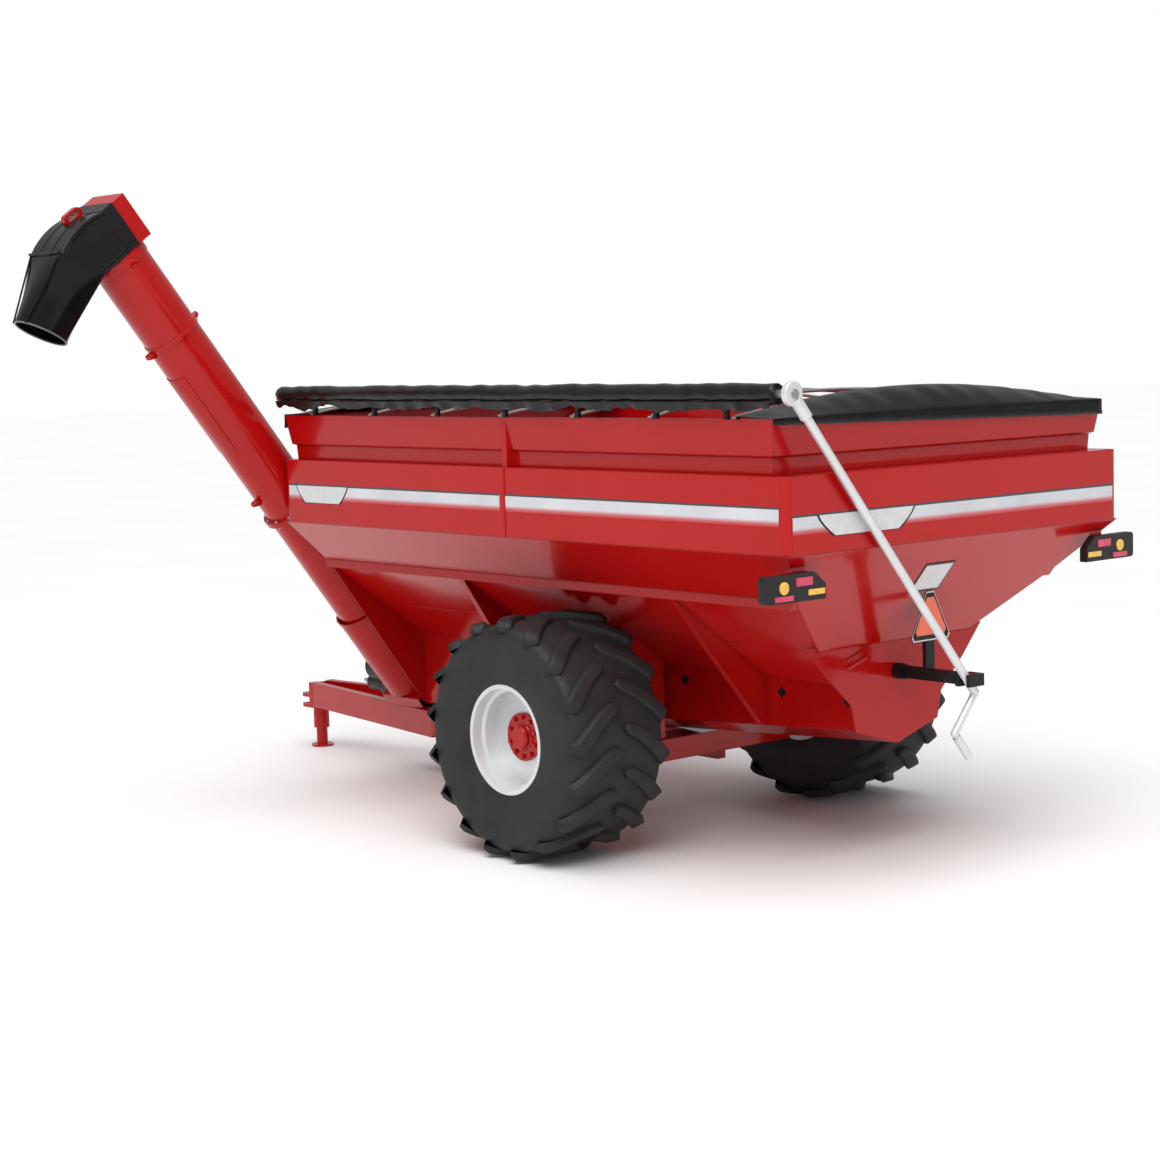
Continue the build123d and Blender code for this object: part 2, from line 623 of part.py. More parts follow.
def rim():
    """Right-hand rim: two flanges, a stepped barrel and the disc in one weldment."""
    w = RIM_WALL
    face = DISC_Y
    back = DISC_Y - DISC_T
    outline = [
        (FLANGE_R, RIM_IN), (FLANGE_R, RIM_IN + 14), (BEAD_R, RIM_IN + 30),
        (BEAD_R, RIM_OUT - 30), (FLANGE_R, RIM_OUT - 14), (FLANGE_R, RIM_OUT),
        (BEAD_R - w + 2, RIM_OUT), (BEAD_R - w, RIM_OUT - 20), (BEAD_R - w, RIM_OUT - 85),
        (BEAD_R - 40, RIM_OUT - 100), (BEAD_R - 40, face), (HUB_CAP_R + 30, face),
        (HUB_CAP_R + 30, back), (BEAD_R - 40 - w, back), (BEAD_R - w, back - 60),
        (BEAD_R - w, RIM_IN + 20), (BEAD_R - w + 2, RIM_IN),
    ]
    return turned(outline)


def hub():
    """Right-hand hub: bearing barrel, bolt flange against the disc and a domed cap."""
    run = HUB_JOURNAL_R + RUN
    outline = [
        (run, 1500), (HUB_R, 1500), (HUB_R, DISC_Y), (HUB_FLANGE_R, DISC_Y),
        (HUB_FLANGE_R, DISC_Y + HUB_FLANGE_T), (HUB_CAP_R + 12, DISC_Y + HUB_FLANGE_T),
        (HUB_CAP_R, DISC_Y + HUB_FLANGE_T + 12),
        (HUB_CAP_R, HUB_CAP_OUT - 14), (HUB_CAP_R - 14, HUB_CAP_OUT), (0, HUB_CAP_OUT),
        (0, HUB_JOURNAL_END + 10), (run, HUB_JOURNAL_END + 10),
    ]
    return turned(outline)


def wheel_nuts():
    """Ring of hexagon nuts on the hub flange."""
    nuts = []
    for i in range(NUT_COUNT):
        angle = math.radians(360 * (i + 0.5) / NUT_COUNT)
        x, z = NUT_CIRCLE_R * math.cos(angle), AXLE_Z + NUT_CIRCLE_R * math.sin(angle)
        plane = Plane(origin=(x, DISC_Y + HUB_FLANGE_T, z), z_dir=(0, 1, 0))
        nuts.append(extrude(plane * RegularPolygon(NUT_R, 6), amount=NUT_T))
    return nuts


# ---------------------------------------------------------------- auger
AUGER_PLANE = Plane(
    origin=(AUGER_X, AUGER_FOOT_Y, AUGER_FOOT_Z), x_dir=(1, 0, 0),
    z_dir=(0, -math.sin(math.radians(AUGER_LEAN)), math.cos(math.radians(AUGER_LEAN))),
)


def auger_point(x, n, s):
    """A point by its distance back, out to the left of the tube, and up the tube."""
    lean = math.radians(AUGER_LEAN)
    y = AUGER_FOOT_Y - s * math.sin(lean) - n * math.cos(lean)
    z = AUGER_FOOT_Z + s * math.cos(lean) - n * math.sin(lean)
    return (AUGER_X + x, y, z)


def tube(s0, s1, outer, inner):
    """A tube about the auger's axis."""
    return rod(auger_point(0, 0, s0), auger_point(0, 0, s1), outer, inner)


def auger_prism(points, x0, x1):
    """Extrude an (n, s) outline along x, in the auger's own frame."""
    face = make_face(Polyline(*[auger_point(x0, n, s) for n, s in points], close=True))
    return extrude(face, amount=x1 - x0, dir=(1, 0, 0))


def spider(s):
    """Hanger bearing inside the tube: a strap across it with a bored boss."""
    reach = TUBE_R - TUBE_WALL / 2
    strap = auger_prism([(-25, s), (25, s), (25, s + SPIDER_T), (-25, s + SPIDER_T)],
                        -reach, reach)
    boss = tube(s, s + SPIDER_T, BEARING_R, 0)
    return strap + boss - tube(s - 1, s + SPIDER_T + 1, SCREW_SHAFT_R + RUN, 0)


def lower_tube():
    """Lower auger tube and its fold flange, with the two lower hinge eyes."""
    body = tube(0, FOLD_S, TUBE_R, TUBE_R - TUBE_WALL)
    body += tube(FOLD_S - FLANGE_T, FOLD_S, FOLD_FLANGE_R, TUBE_R - TUBE_WALL)
    for x in (-150, 150):
        body += hinge_eye(x - 30, x + 30, -1)
    return body + spider(FOLD_S - 40) - hinge_bore()


def hinge_eye(x0, x1, side):
    """One eye of the fold hinge; side is -1 for the lower flange and +1 for the upper."""
    s = FOLD_S
    near_x = 0 if x0 * x1 < 0 else min(abs(x0), abs(x1))
    root = -math.sqrt((TUBE_R - TUBE_WALL / 2) ** 2 - near_x ** 2)
    face = s + SEAT * (side > 0)
    back = s + side * FLANGE_T
    barrel = rod(auger_point(x0, -HINGE_OFF, s), auger_point(x1, -HINGE_OFF, s), HINGE_R)
    web = auger_prism([(-HINGE_OFF, face), (-HINGE_OFF, back), (root, back), (root, face)],
                      x0, x1)
    return barrel + web


def hinge_bore():
    """Bore of the fold hinge through every eye."""
    start = auger_point(-220, -HINGE_OFF, FOLD_S)
    return rod(start, auger_point(220, -HINGE_OFF, FOLD_S), HINGE_PIN_R + RUN)


def fold_pin():
    """Hinge pin with a head at each end."""
    half = 195
    pin = rod(auger_point(-half, -HINGE_OFF, FOLD_S), auger_point(half, -HINGE_OFF, FOLD_S),
              HINGE_PIN_R)
    for x0, x1 in ((-half, -half + 12), (half - 12, half)):
        pin += rod(auger_point(x0, -HINGE_OFF, FOLD_S), auger_point(x1, -HINGE_OFF, FOLD_S),
                   HINGE_PIN_R + 10)
    return pin


def upper_tube():
    """Upper auger tube with its fold flange and the upper hinge eye."""
    start = FOLD_S + SEAT
    body = tube(start, HEAD_S, TUBE_R, TUBE_R - TUBE_WALL)
    body += tube(start, start + FLANGE_T, FOLD_FLANGE_R, TUBE_R - TUBE_WALL)
    body += hinge_eye(-110, 110, 1)
    return body + spider(FOLD_S + 30) + spider(HEAD_S - 50) - hinge_bore()


def discharge_head():
    """Box at the top of the tube, open towards the hood, with a hole for the tube."""
    t = TUBE_WALL
    outer = auger_prism([(-HEAD_BACK, HEAD_S), (0, HEAD_S), (0, HEAD_TOP_S),
                         (-HEAD_BACK, HEAD_TOP_S)], -HEAD_HALF, HEAD_HALF)
    inner = auger_prism([(-HEAD_BACK + t, HEAD_S + t), (0, HEAD_S + t), (0, HEAD_TOP_S - t),
                         (-HEAD_BACK + t, HEAD_TOP_S - t)], -HEAD_HALF + t, HEAD_HALF - t)
    hole = tube(HEAD_S - 1, HEAD_S + t + 1, TUBE_R - TUBE_WALL, 0)
    return outer - inner - hole


def hood_solid(inset, x_half):
    """Hood outline extruded along x; inset moves its walls inwards."""
    top = HEAD_TOP_S - inset
    low = HEAD_S + inset
    n0 = 0.0
    a = auger_point(-x_half, n0, low)
    b = auger_point(-x_half, n0, top)
    c = auger_point(-x_half, HOOD_CROWN[0], HOOD_CROWN[1] - inset)
    d = auger_point(-x_half, HOOD_OUT_TOP[0], HOOD_OUT_TOP[1] - inset)
    e = auger_point(-x_half, HOOD_OUT_LOW[0], low)
    edges = [Line(a, b), ThreePointArc(b, c, d), Line(d, e), Line(e, a)]
    return extrude(make_face(Wire(edges)), amount=2 * x_half, dir=(1, 0, 0))


def hood():
    """Rounded hood that turns the grain out of the head, open to head and spout."""
    t = TUBE_WALL
    shell = hood_solid(0, HEAD_HALF) - hood_solid(t, HEAD_HALF - t)
    shell -= tube(HEAD_S - 1, HEAD_S + t + 1, TUBE_R - TUBE_WALL, 0)
    inner = SPOUT_HINGE_MID + SEAT
    knuckles = [spout_hinge_rod(inner, HEAD_HALF, SPOUT_HINGE_R),
                spout_hinge_rod(-HEAD_HALF, -inner, SPOUT_HINGE_R),
                spout_hinge_rod(-HEAD_HALF, HEAD_HALF, SPOUT_PIN_R)]
    return shell + knuckles


def spout_ways():
    """Unit vectors of the spout in the auger's frame: out along it, and up across it."""
    rise = (HOOD_OUT_TOP[0] - HOOD_OUT_LOW[0], HOOD_OUT_TOP[1] - HOOD_OUT_LOW[1])
    length = math.hypot(*rise)
    up = (rise[0] / length, rise[1] / length)
    return (up[1], -up[0]), up


def spout_hinge(out_by=0.0, up_by=0.0):
    """(n, s) of the spout's hinge axis, or of a point offset from it."""
    out, up = spout_ways()
    rise = SPOUT_HINGE_OFF + up_by
    return (HOOD_OUT_TOP[0] + up[0] * rise + out[0] * out_by,
            HOOD_OUT_TOP[1] + up[1] * rise + out[1] * out_by)


def spout_hinge_rod(x0, x1, radius):
    """A round bar along the spout's hinge axis."""
    n, s = spout_hinge()
    return rod(auger_point(x0, n, s), auger_point(x1, n, s), radius)


def spout_loft(grow, lift):
    """Spout body: a rectangle at the hood to an ellipse at the mouth."""
    top, low = HOOD_OUT_TOP, HOOD_OUT_LOW
    mid = ((top[0] + low[0]) / 2, (top[1] + low[1]) / 2)
    edge = Vector(top[0] - low[0], top[1] - low[1])
    out = spout_ways()[0]
    start = auger_point(0, mid[0] + out[0] * (SEAT - lift), mid[1] + out[1] * (SEAT - lift))
    end = auger_point(0, mid[0] + out[0] * (SPOUT_L + lift), mid[1] + out[1] * (SPOUT_L + lift))
    way = (Vector(*end) - Vector(*start)).normalized()
    first = Plane(origin=start, x_dir=(1, 0, 0), z_dir=way)
    last = Plane(origin=end, x_dir=(1, 0, 0), z_dir=way)
    mouth = last * Ellipse(SPOUT_MOUTH[0] + grow, SPOUT_MOUTH[1] + grow)
    collar = first * Rectangle(2 * (HEAD_HALF + grow), edge.length + 2 * grow)
    return loft([collar, mouth])


def spout():
    """Tapered spout, open at both ends, with the knuckle it tilts on."""
    half = SPOUT_HINGE_MID
    knuckle = spout_hinge_rod(-half, half, SPOUT_HINGE_R - 1.5)
    web = [spout_hinge(1, 4), spout_hinge(14, 4), spout_hinge(14, -SPOUT_HINGE_OFF - 5),
           spout_hinge(1, -SPOUT_HINGE_OFF - 5)]
    body = spout_loft(0, 0) - spout_loft(-SPOUT_WALL, 4)
    body -= spout_hinge_rod(-HEAD_HALF - 1, HEAD_HALF + 1, SPOUT_HINGE_R + SEAT)
    body += knuckle + auger_prism(web, -half, half)
    return body - spout_hinge_rod(-half - 1, half + 1, SPOUT_PIN_R + RUN)


def lifting_eye():
    """Oblong eye on top of the hood."""
    plane = Plane(origin=auger_point(0, 120, HEAD_TOP_S + 62), x_dir=(0, 0.8, 0.6),
                  z_dir=(1, 0, 0))
    ring = extrude(plane * SlotOverall(190, 90), amount=30, both=True)
    ring -= extrude(plane * SlotOverall(120, 36), amount=40, both=True)
    return ring - hood_solid(-SEAT, HEAD_HALF + 1)


def boot():
    """Casting that carries grain from the trough's mouth to the foot of the tube."""
    front = AUGER_X - TUBE_R
    back = BELT_FRONT
    foot_left = auger_point(0, TUBE_R, 0)
    foot_right = auger_point(0, -TUBE_R, 0)
    low = RAIL_HIGH + 5
    outline = [(foot_left[1], foot_left[2]), (foot_right[1], foot_right[2]),
               (320, foot_right[2]), (320, low), (foot_left[1] + 60, low)]
    shell = prism_x(outline, front, back)
    t = 10
    cavity = [(foot_left[1] + 16, foot_left[2]), (foot_right[1], foot_right[2] - 14),
              (320 - t, foot_right[2] - 14), (320 - t, low + t), (foot_left[1] + 68, low + t)]
    solid = prism_x(outline, front, back)
    pedestal = tube(-SCREW_FOOT - 150, -SCREW_FOOT + 90, BEARING_R, 0) & solid
    shell = shell - prism_x(cavity, front + t, back) + pedestal
    shell -= tube(-SCREW_FOOT - 10, -SCREW_FOOT + 100, SCREW_SHAFT_R + RUN, 0)
    return shell - tube(-60, 20, TUBE_R - TUBE_WALL - 4, 0)


def auger_bracket(s):
    """Block between the front bulkhead and the lower tube."""
    centre = auger_point(0, 0, s)
    block = box((AUGER_X + TUBE_R - 60, BELT_FRONT), (centre[1] - 70, centre[1] + 70),
                (centre[2] - 50, centre[2] + 50))
    return block - tube(s - 400, s + 400, TUBE_R, 0)


def flight(start, end, radius, shaft_r, first, last):
    """Shaft from start to end, with pitched blades between two distances along it."""
    a, b = Vector(*start), Vector(*end)
    way = (b - a).normalized()
    body = rod(start, end, shaft_r)
    count = int((last - first) // SCREW_PITCH)
    for i in range(count):
        body += flat_blade(a + way * (first + SCREW_PITCH * (i + 0.5)), way, radius)
    return body


def flat_blade(origin, way, radius):
    """One pitched disc: a cylinder's section cut by two parallel leaning planes."""
    plane = Plane(origin=origin, z_dir=way)
    lean = math.degrees(math.atan2(SCREW_PITCH / 2, 2 * radius))
    disc = Rot(lean, 0, 0) * Box(4 * radius, 4 * radius, SCREW_BLADE)
    disc &= Cylinder(radius, SCREW_PITCH)
    return plane.location * disc


def gearbox():
    """Two-lobed drive case at the foot of the auger."""
    x0, x1 = GEAR_FRONT, AUGER_X - TUBE_R
    case = rod((x0, *GEAR_UPPER), (x1, *GEAR_UPPER), GEAR_UPPER_R)
    case += rod((x0 + GEAR_STEP, *GEAR_LOWER), (x1, *GEAR_LOWER), GEAR_LOWER_R)
    for lobe, r in ((GEAR_UPPER, 60), (GEAR_LOWER, 50)):
        case += rod((x0 - GEAR_BOSS, *lobe), (x0 + 40, *lobe), r)
    return case - rod((x0 - 20, *GEAR_LOWER), (x0 + PTO_INSIDE + 10, *GEAR_LOWER), PTO_R + RUN)


def pto_shaft():
    """Input shaft stub, with a collar and a plain end for the driveline."""
    shaft = rod((GEAR_FRONT - PTO_L, *GEAR_LOWER), (GEAR_FRONT + PTO_INSIDE, *GEAR_LOWER), PTO_R)
    collar = rod((GEAR_FRONT - 60, *GEAR_LOWER), (GEAR_FRONT - 20, *GEAR_LOWER), 40)
    return shaft + collar


def pto_guard():
    """Round guard seated on the gearbox, open at its end."""
    start, end = GEAR_FRONT + GEAR_STEP, GEAR_FRONT - GUARD_L
    return rod((start, *GEAR_LOWER), (end, *GEAR_LOWER), GUARD_R, GUARD_R - 8)


# ---------------------------------------------------------------- tarp
def bow_xs():
    """Places of the tarp bows along the tank."""
    pitch = (BOW_LAST - BOW_FIRST) / (BOW_COUNT - 1)
    return [BOW_FIRST + pitch * i for i in range(BOW_COUNT)]


def bow(x):
    """Arched tube from rim to rim, with a foot at each end."""
    half, end_z = BELT_HALF - EXT_TOP_IN - 38, RIM_Z + BOW_R + 4
    path = ThreePointArc((x, -half, end_z), (x, 0, BOW_CROWN_Z), (x, half, end_z))
    arch = sweep(Plane(origin=path @ 0, z_dir=path % 0) * Circle(BOW_R), path=path)
    foot = box((x - 20, x + 20), (half - 22, half + 22), (RIM_Z, end_z))
    return arch + foot + flip(foot)


def cradle(x):
    """Small bracket on the left rim that the rolled tarp lies on."""
    y = -(BELT_HALF - EXT_TOP_IN) + 16
    post = box((x - 18, x + 18), (y - 15, y + 15), (RIM_Z, ROLL_Z))
    return post - rod((x - 50, ROLL_Y, ROLL_Z), (x + 50, ROLL_Y, ROLL_Z), ROLL_R + SEAT)


def end_cap(x_face, inward):
    """Fabric end cap: a skirt outside the rim and a slope up to the first bow."""
    half = BELT_HALF - EXT_TOP_IN
    outline = [
        (x_face, RIM_Z - CAP_SKIRT), (x_face, RIM_Z + CAP_T),
        (x_face + inward * CAP_REACH, BOW_CROWN_Z + 24 + CAP_T),
        (x_face + inward * CAP_REACH, BOW_CROWN_Z + 24),
        (x_face + inward * (CAP_T - SEAT), RIM_Z + SEAT + 1),
        (x_face + inward * (CAP_T - SEAT), RIM_Z - CAP_SKIRT),
    ]
    sheet = prism_y(outline, -half, half)
    arc = ThreePointArc((x_face - 600, -half, RIM_Z + 14), (x_face - 600, 0, BOW_CROWN_Z + 30),
                        (x_face - 600, half, RIM_Z + 14))
    under = Wire([arc, Line((x_face - 600, half, RIM_Z + 14), (x_face - 600, half, RIM_Z - 200)),
                  Line((x_face - 600, half, RIM_Z - 200), (x_face - 600, -half, RIM_Z - 200)),
                  Line((x_face - 600, -half, RIM_Z - 200), (x_face - 600, -half, RIM_Z + 14))])
    return sheet & extrude(make_face(under), amount=1200, dir=(1, 0, 0))


def latch_plate():
    """Angle along the right rim that the closed tarp hooks under."""
    y = BELT_HALF - EXT_TOP_IN
    x = (EXT_FRONT + EXT_TOP_IN + 20, EXT_REAR - EXT_TOP_IN - 20)
    top = box(x, (y - 10, y + 24), (RIM_Z, RIM_Z + 5))
    drop = box(x, (y + 19, y + 24), (RIM_Z - 70, RIM_Z + 5))
    return top + drop


# ---------------------------------------------------------------- crank
CRANK_DIR = Vector(0, CLIP_Y - ROLL_Y, CLIP_Z - ROLL_Z).normalized()
CRANK_L = math.hypot(CLIP_Y - ROLL_Y, CLIP_Z - ROLL_Z) + CRANK_BELOW
CRANK_SIDE = Vector(0, CRANK_DIR.Z, -CRANK_DIR.Y)     # down and to the left


def crank_at(distance, side=0.0):
    """A point by its distance down the crank rod and out along the throw."""
    p = Vector(CRANK_X, ROLL_Y, ROLL_Z) + CRANK_DIR * distance + CRANK_SIDE * side
    return (p.X, p.Y, p.Z)


def crank_knuckle():
    """Ring on the roll's stub shaft, with a socket for the crank rod."""
    half = KNUCKLE_T / 2
    ring = rod((CRANK_X - half, ROLL_Y, ROLL_Z), (CRANK_X + half, ROLL_Y, ROLL_Z), KNUCKLE_R)
    ring = fillet(ring.edges().filter_by(GeomType.CIRCLE), 10)
    socket = rod(crank_at(40), crank_at(SOCKET_L), CRANK_R + 12)
    bore = rod((CRANK_X - half - 1, ROLL_Y, ROLL_Z), (CRANK_X + half + 1, ROLL_Y, ROLL_Z),
               STUB_R + RUN)
    pocket = rod(crank_at(SOCKET_BORE_FROM), crank_at(SOCKET_L + 1), CRANK_R + RUN)
    return ring + socket - bore - pocket


def crank_rod():
    """Long rod, throw and bare end of the handle."""
    body = rod(crank_at(SOCKET_BORE_FROM + 2), crank_at(CRANK_L), CRANK_R)
    body += Pos(*crank_at(CRANK_L)) * Sphere(CRANK_R)
    body += rod(crank_at(CRANK_L), crank_at(CRANK_L + 60, CRANK_THROW), CRANK_R - 4)
    body += Pos(*crank_at(CRANK_L + 60, CRANK_THROW)) * Sphere(CRANK_R - 2)
    return body + rod(crank_at(CRANK_L + 60, CRANK_THROW),
                      crank_at(CRANK_L + 60 + GRIP_L, CRANK_THROW), CRANK_R - 12)


def crank_grip():
    """Sleeve on the handle."""
    start = CRANK_L + 60 + CRANK_R + 6
    return rod(crank_at(start, CRANK_THROW), crank_at(CRANK_L + 60 + GRIP_L, CRANK_THROW),
               CRANK_R, CRANK_R - 12)


def crank_rest():
    """Bar on the rear plate with the slotted block that the crank rod drops into."""
    bar = box((REAR_X + PLATE, CRANK_X - 70), (-BAR_HALF, BAR_HALF), (BAR_LOW, BAR_HIGH))
    mid = (BAR_LOW + BAR_HIGH) / 2
    boss = rod((REAR_X + PLATE, 0, mid), (REAR_X + PLATE + 90, 0, mid), 60)
    block = box((CRANK_X - 72, CRANK_X + 62), (CLIP_Y - 72, CLIP_Y + 96), (BAR_LOW, BAR_HIGH))
    slot_plane = Plane(origin=crank_at(CRANK_L - 700), x_dir=(1, 0, 0),
                       z_dir=(CRANK_DIR.X, CRANK_DIR.Y, CRANK_DIR.Z))
    r = CRANK_R + SEAT
    slot = extrude(slot_plane * Circle(r), amount=1400)
    way = Vector(*crank_at(0, 1)) - Vector(*crank_at(0, 0))
    cut = Plane(origin=Vector(*crank_at(CRANK_L - 700)) + way * 200, x_dir=(1, 0, 0),
                z_dir=(CRANK_DIR.X, CRANK_DIR.Y, CRANK_DIR.Z)) * Rectangle(2 * r, 400)
    slot += extrude(cut, amount=1400)
    return bar + boss + (block - slot)


def sign_post():
    """Upright that carries the slow-vehicle sign."""
    return box((SIGN_X - 40, SIGN_X - 5), (-48, 48), (BAR_HIGH, SIGN_LOW + 120))


def sign_outline(grow):
    """Triangle with cut corners, as (y, z) points."""
    tip, half, cut = SIGN_HIGH + grow, SIGN_HALF + grow, 34.0
    low = SIGN_LOW - grow
    ratio = half / (tip - low + cut)
    return [(-half + cut / 2, low), (half - cut / 2, low), (half, low + cut),
            (cut * ratio + 22, tip), (-cut * ratio - 22, tip), (-half, low + cut)]


# ---------------------------------------------------------------- lamps
def lamp_housing():
    """Right-hand lamp case with its inner top corner cut off."""
    outline = [(LAMP_IN, LAMP_LOW), (LAMP_OUT, LAMP_LOW), (LAMP_OUT, LAMP_HIGH),
               (LAMP_IN + 110, LAMP_HIGH), (LAMP_IN, LAMP_HIGH - 90)]
    case = prism_x(outline, LAMP_FRONT, LAMP_REAR)
    return fillet(case.edges().filter_by(Axis.X).sort_by(Axis.Y)[-2:], 30)


def lamp_bracket():
    """Right-hand plate between the lamp case and the rear wall."""
    x0, x1 = LAMP_FRONT - 6, LAMP_FRONT
    z0 = BREAK_Z + (x0 - REAR_ALONG - REAR_X) / REAR_RUN
    z1 = BREAK_Z + (x1 - REAR_ALONG - REAR_X) / REAR_RUN
    outline = [(x0, LAMP_LOW + 60), (x1, LAMP_LOW + 60), (x1, z1), (x0, z0)]
    return prism_y(outline, LAMP_IN + 135, knee_at(z0) - 10)


def lens_plate(y, z):
    """Flat lens on the right-hand lamp, from its low and high corners."""
    lens = box((LAMP_REAR, LAMP_REAR + LENS_T), y, z)
    return chamfer(lens.faces().sort_by(Axis.X)[-1].edges(), 3)


def lamp_lenses():
    """Amber and red lenses of the right-hand lamp, in that order."""
    amber_round = rod((LAMP_REAR, 1880, 2290), (LAMP_REAR + LENS_T, 1880, 2290), 44)
    amber_bar = lens_plate((1480, 1640), (2222, 2262))
    red_top = lens_plate((1600, 1760), (2292, 2350))
    red_bar = lens_plate((1790, 1970), (2200, 2236))
    return [amber_round, amber_bar], [red_top, red_bar]


# ---------------------------------------------------------------- write the nodes
def write_tank():
    side = belt_side()
    save("belt_sides", side, flip(side))
    save("belt_ends", belt_end(BELT_FRONT, FRONT_IN, EXT_FRONT + EXT_FOOT_IN + 20),
         belt_end(BELT_REAR, BELT_REAR - SHEET, EXT_REAR - EXT_FOOT_IN - 20))
    corners = [(x, y, sx, sy) for x, sx in ((BELT_FRONT, -1), (BELT_REAR, 1))
               for y, sy in ((-BELT_HALF, -1), (BELT_HALF, 1))]
    save("corner_posts", *[corner_post(*c) for c in corners])
    save("extension_sides", extension_side(), flip(extension_side()))
    save("extension_ends", extension_end(EXT_FRONT, 1), extension_end(EXT_REAR, -1))
    panel = leaning_sheet((BELT_HALF, BELT_LOW), KNEE, SHEET)
    save("side_panels", panel, flip(panel))
    slopes = [leaning_sheet(KNEE, LAP, SHEET),
              leaning_sheet((LAP[0] - LAP_STEP, LAP[1]), SLOPE_FOOT, SHEET)]
    save("slope_sheets", *slopes, *[flip(s) for s in slopes])
    save("trough", trough_wall(), flip(trough_wall()), trough_floor())
    save("front_bulkhead", front_bulkhead())
    save("rear_wall", rear_wall())
    save("rear_plate", rear_plate())
    gussets = [gusset(-1300.0, 870.0, 600.0), gusset(1230.0, 1005.0, 480.0)]
    ribs = gussets + [ridge_rail()]
    save("hopper_ribs", *ribs, *[flip(r) for r in ribs])
    save("flow_gate", flow_gate())
    save("trough_fittings", gate_guide(), flip(gate_guide()), gate_rod_guide(),
         *floor_bearings())


def write_frame():
    save("tongue_beams", tongue_beam(), flip(tongue_beam()))
    save("frame_rails", frame_rail(), flip(frame_rail()), *cross_members())
    stands = [axle_stand(x) for x in (-110, 110)]
    save("axle_beam", axle_beam(), *stands, *[flip(s) for s in stands])
    save("spindles", spindle(), flip(spindle()))
    save("hitch_head", hitch_head())
    save("stand_leg", stand_leg())


def write_wheels():
    for name, make in (("tyre", tyre), ("rim", rim), ("hub", hub)):
        right = make()
        save(f"{name}_right", right)
        save(f"{name}_left", flip(right))
    nuts = wheel_nuts()
    save("wheel_nuts_right", *nuts)
    save("wheel_nuts_left", *[flip(n) for n in nuts])


def write_auger():
    save("lower_tube", lower_tube())
    save("boot", boot())
    save("auger_brackets", auger_bracket(1000), auger_bracket(1700))
    save("gearbox", gearbox())
    save("pto_shaft", pto_shaft())
    save("pto_guard", pto_guard())
    save("fold_pin", fold_pin())
    save("upper_tube", upper_tube())
    save("discharge_head", discharge_head())
    save("hood", hood())
    save("spout", spout())
    save("lifting_eye", lifting_eye())
    foot = -SCREW_FOOT
    save("lower_screw", flight(auger_point(0, 0, foot), auger_point(0, 0, FOLD_S - 3),
                               SCREW_R, SCREW_SHAFT_R, SCREW_FOOT + 10, FOLD_S - foot - 70))
    start, end = FOLD_S + 3, HEAD_S + 260
    save("upper_screw", flight(auger_point(0, 0, start), auger_point(0, 0, end),
                               SCREW_R, SCREW_SHAFT_R, 70, HEAD_S - 70 - start))
    x0, x1 = FRONT_IN + 65, REAR_X - 10
    save("floor_screw", flight((x0, 0, floor_axis(x0)), (x1, 0, floor_axis(x1)),
                               FLOOR_SCREW_R, FLOOR_SHAFT_R, 60, x1 - x0 - 60))


def write_top():
    save("tarp_bows", *[bow(x) for x in bow_xs()])
    save("roll_cradles", *[cradle(x + 70) for x in bow_xs()[:-1]], cradle(BOW_LAST - 70))
    roll = rod((ROLL_FRONT, ROLL_Y, ROLL_Z), (ROLL_REAR, ROLL_Y, ROLL_Z), ROLL_R, STUB_R)
    save("tarp_roll", roll)
    save("roll_tube", rod((ROLL_FRONT, ROLL_Y, ROLL_Z),
                          (CRANK_X + KNUCKLE_T / 2 + 12, ROLL_Y, ROLL_Z), STUB_R))
    save("tarp_cap_rear", end_cap(EXT_REAR - EXT_TOP_IN + CAP_T, -1))
    save("tarp_cap_front", end_cap(EXT_FRONT + EXT_TOP_IN - CAP_T, 1))
    save("latch_plate", latch_plate())
    save("crank_knuckle", crank_knuckle())
    save("crank_rod", crank_rod())
    save("crank_grip", crank_grip())


def write_rear():
    save("crank_rest", crank_rest(), sign_post())
    save("slow_sign", prism_x(sign_outline(0), SIGN_X - 5, SIGN_X))
    save("slow_sign_face", prism_x(sign_outline(-46), SIGN_X, SIGN_X + 3))
    housing, bracket = lamp_housing(), lamp_bracket()
    save("lamp_cases", housing, flip(housing))
    save("lamp_brackets", bracket, flip(bracket))
    amber, red = lamp_lenses()
    save("amber_lenses", *amber, *[flip(a) for a in amber])
    save("red_lenses", *red, *[flip(r) for r in red])


write_tank()
write_frame()
write_wheels()
write_auger()
write_top()
write_rear()
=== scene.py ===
"""Looks of a single-axle grain cart with a folding corner auger and a rolled tarp.

Metres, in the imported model's frame: the origin is the hitch-pin bore, +X runs back along the
cart, +Y to its right and +Z up.  New pieces are surfaces worked out with numpy.
"""

import math

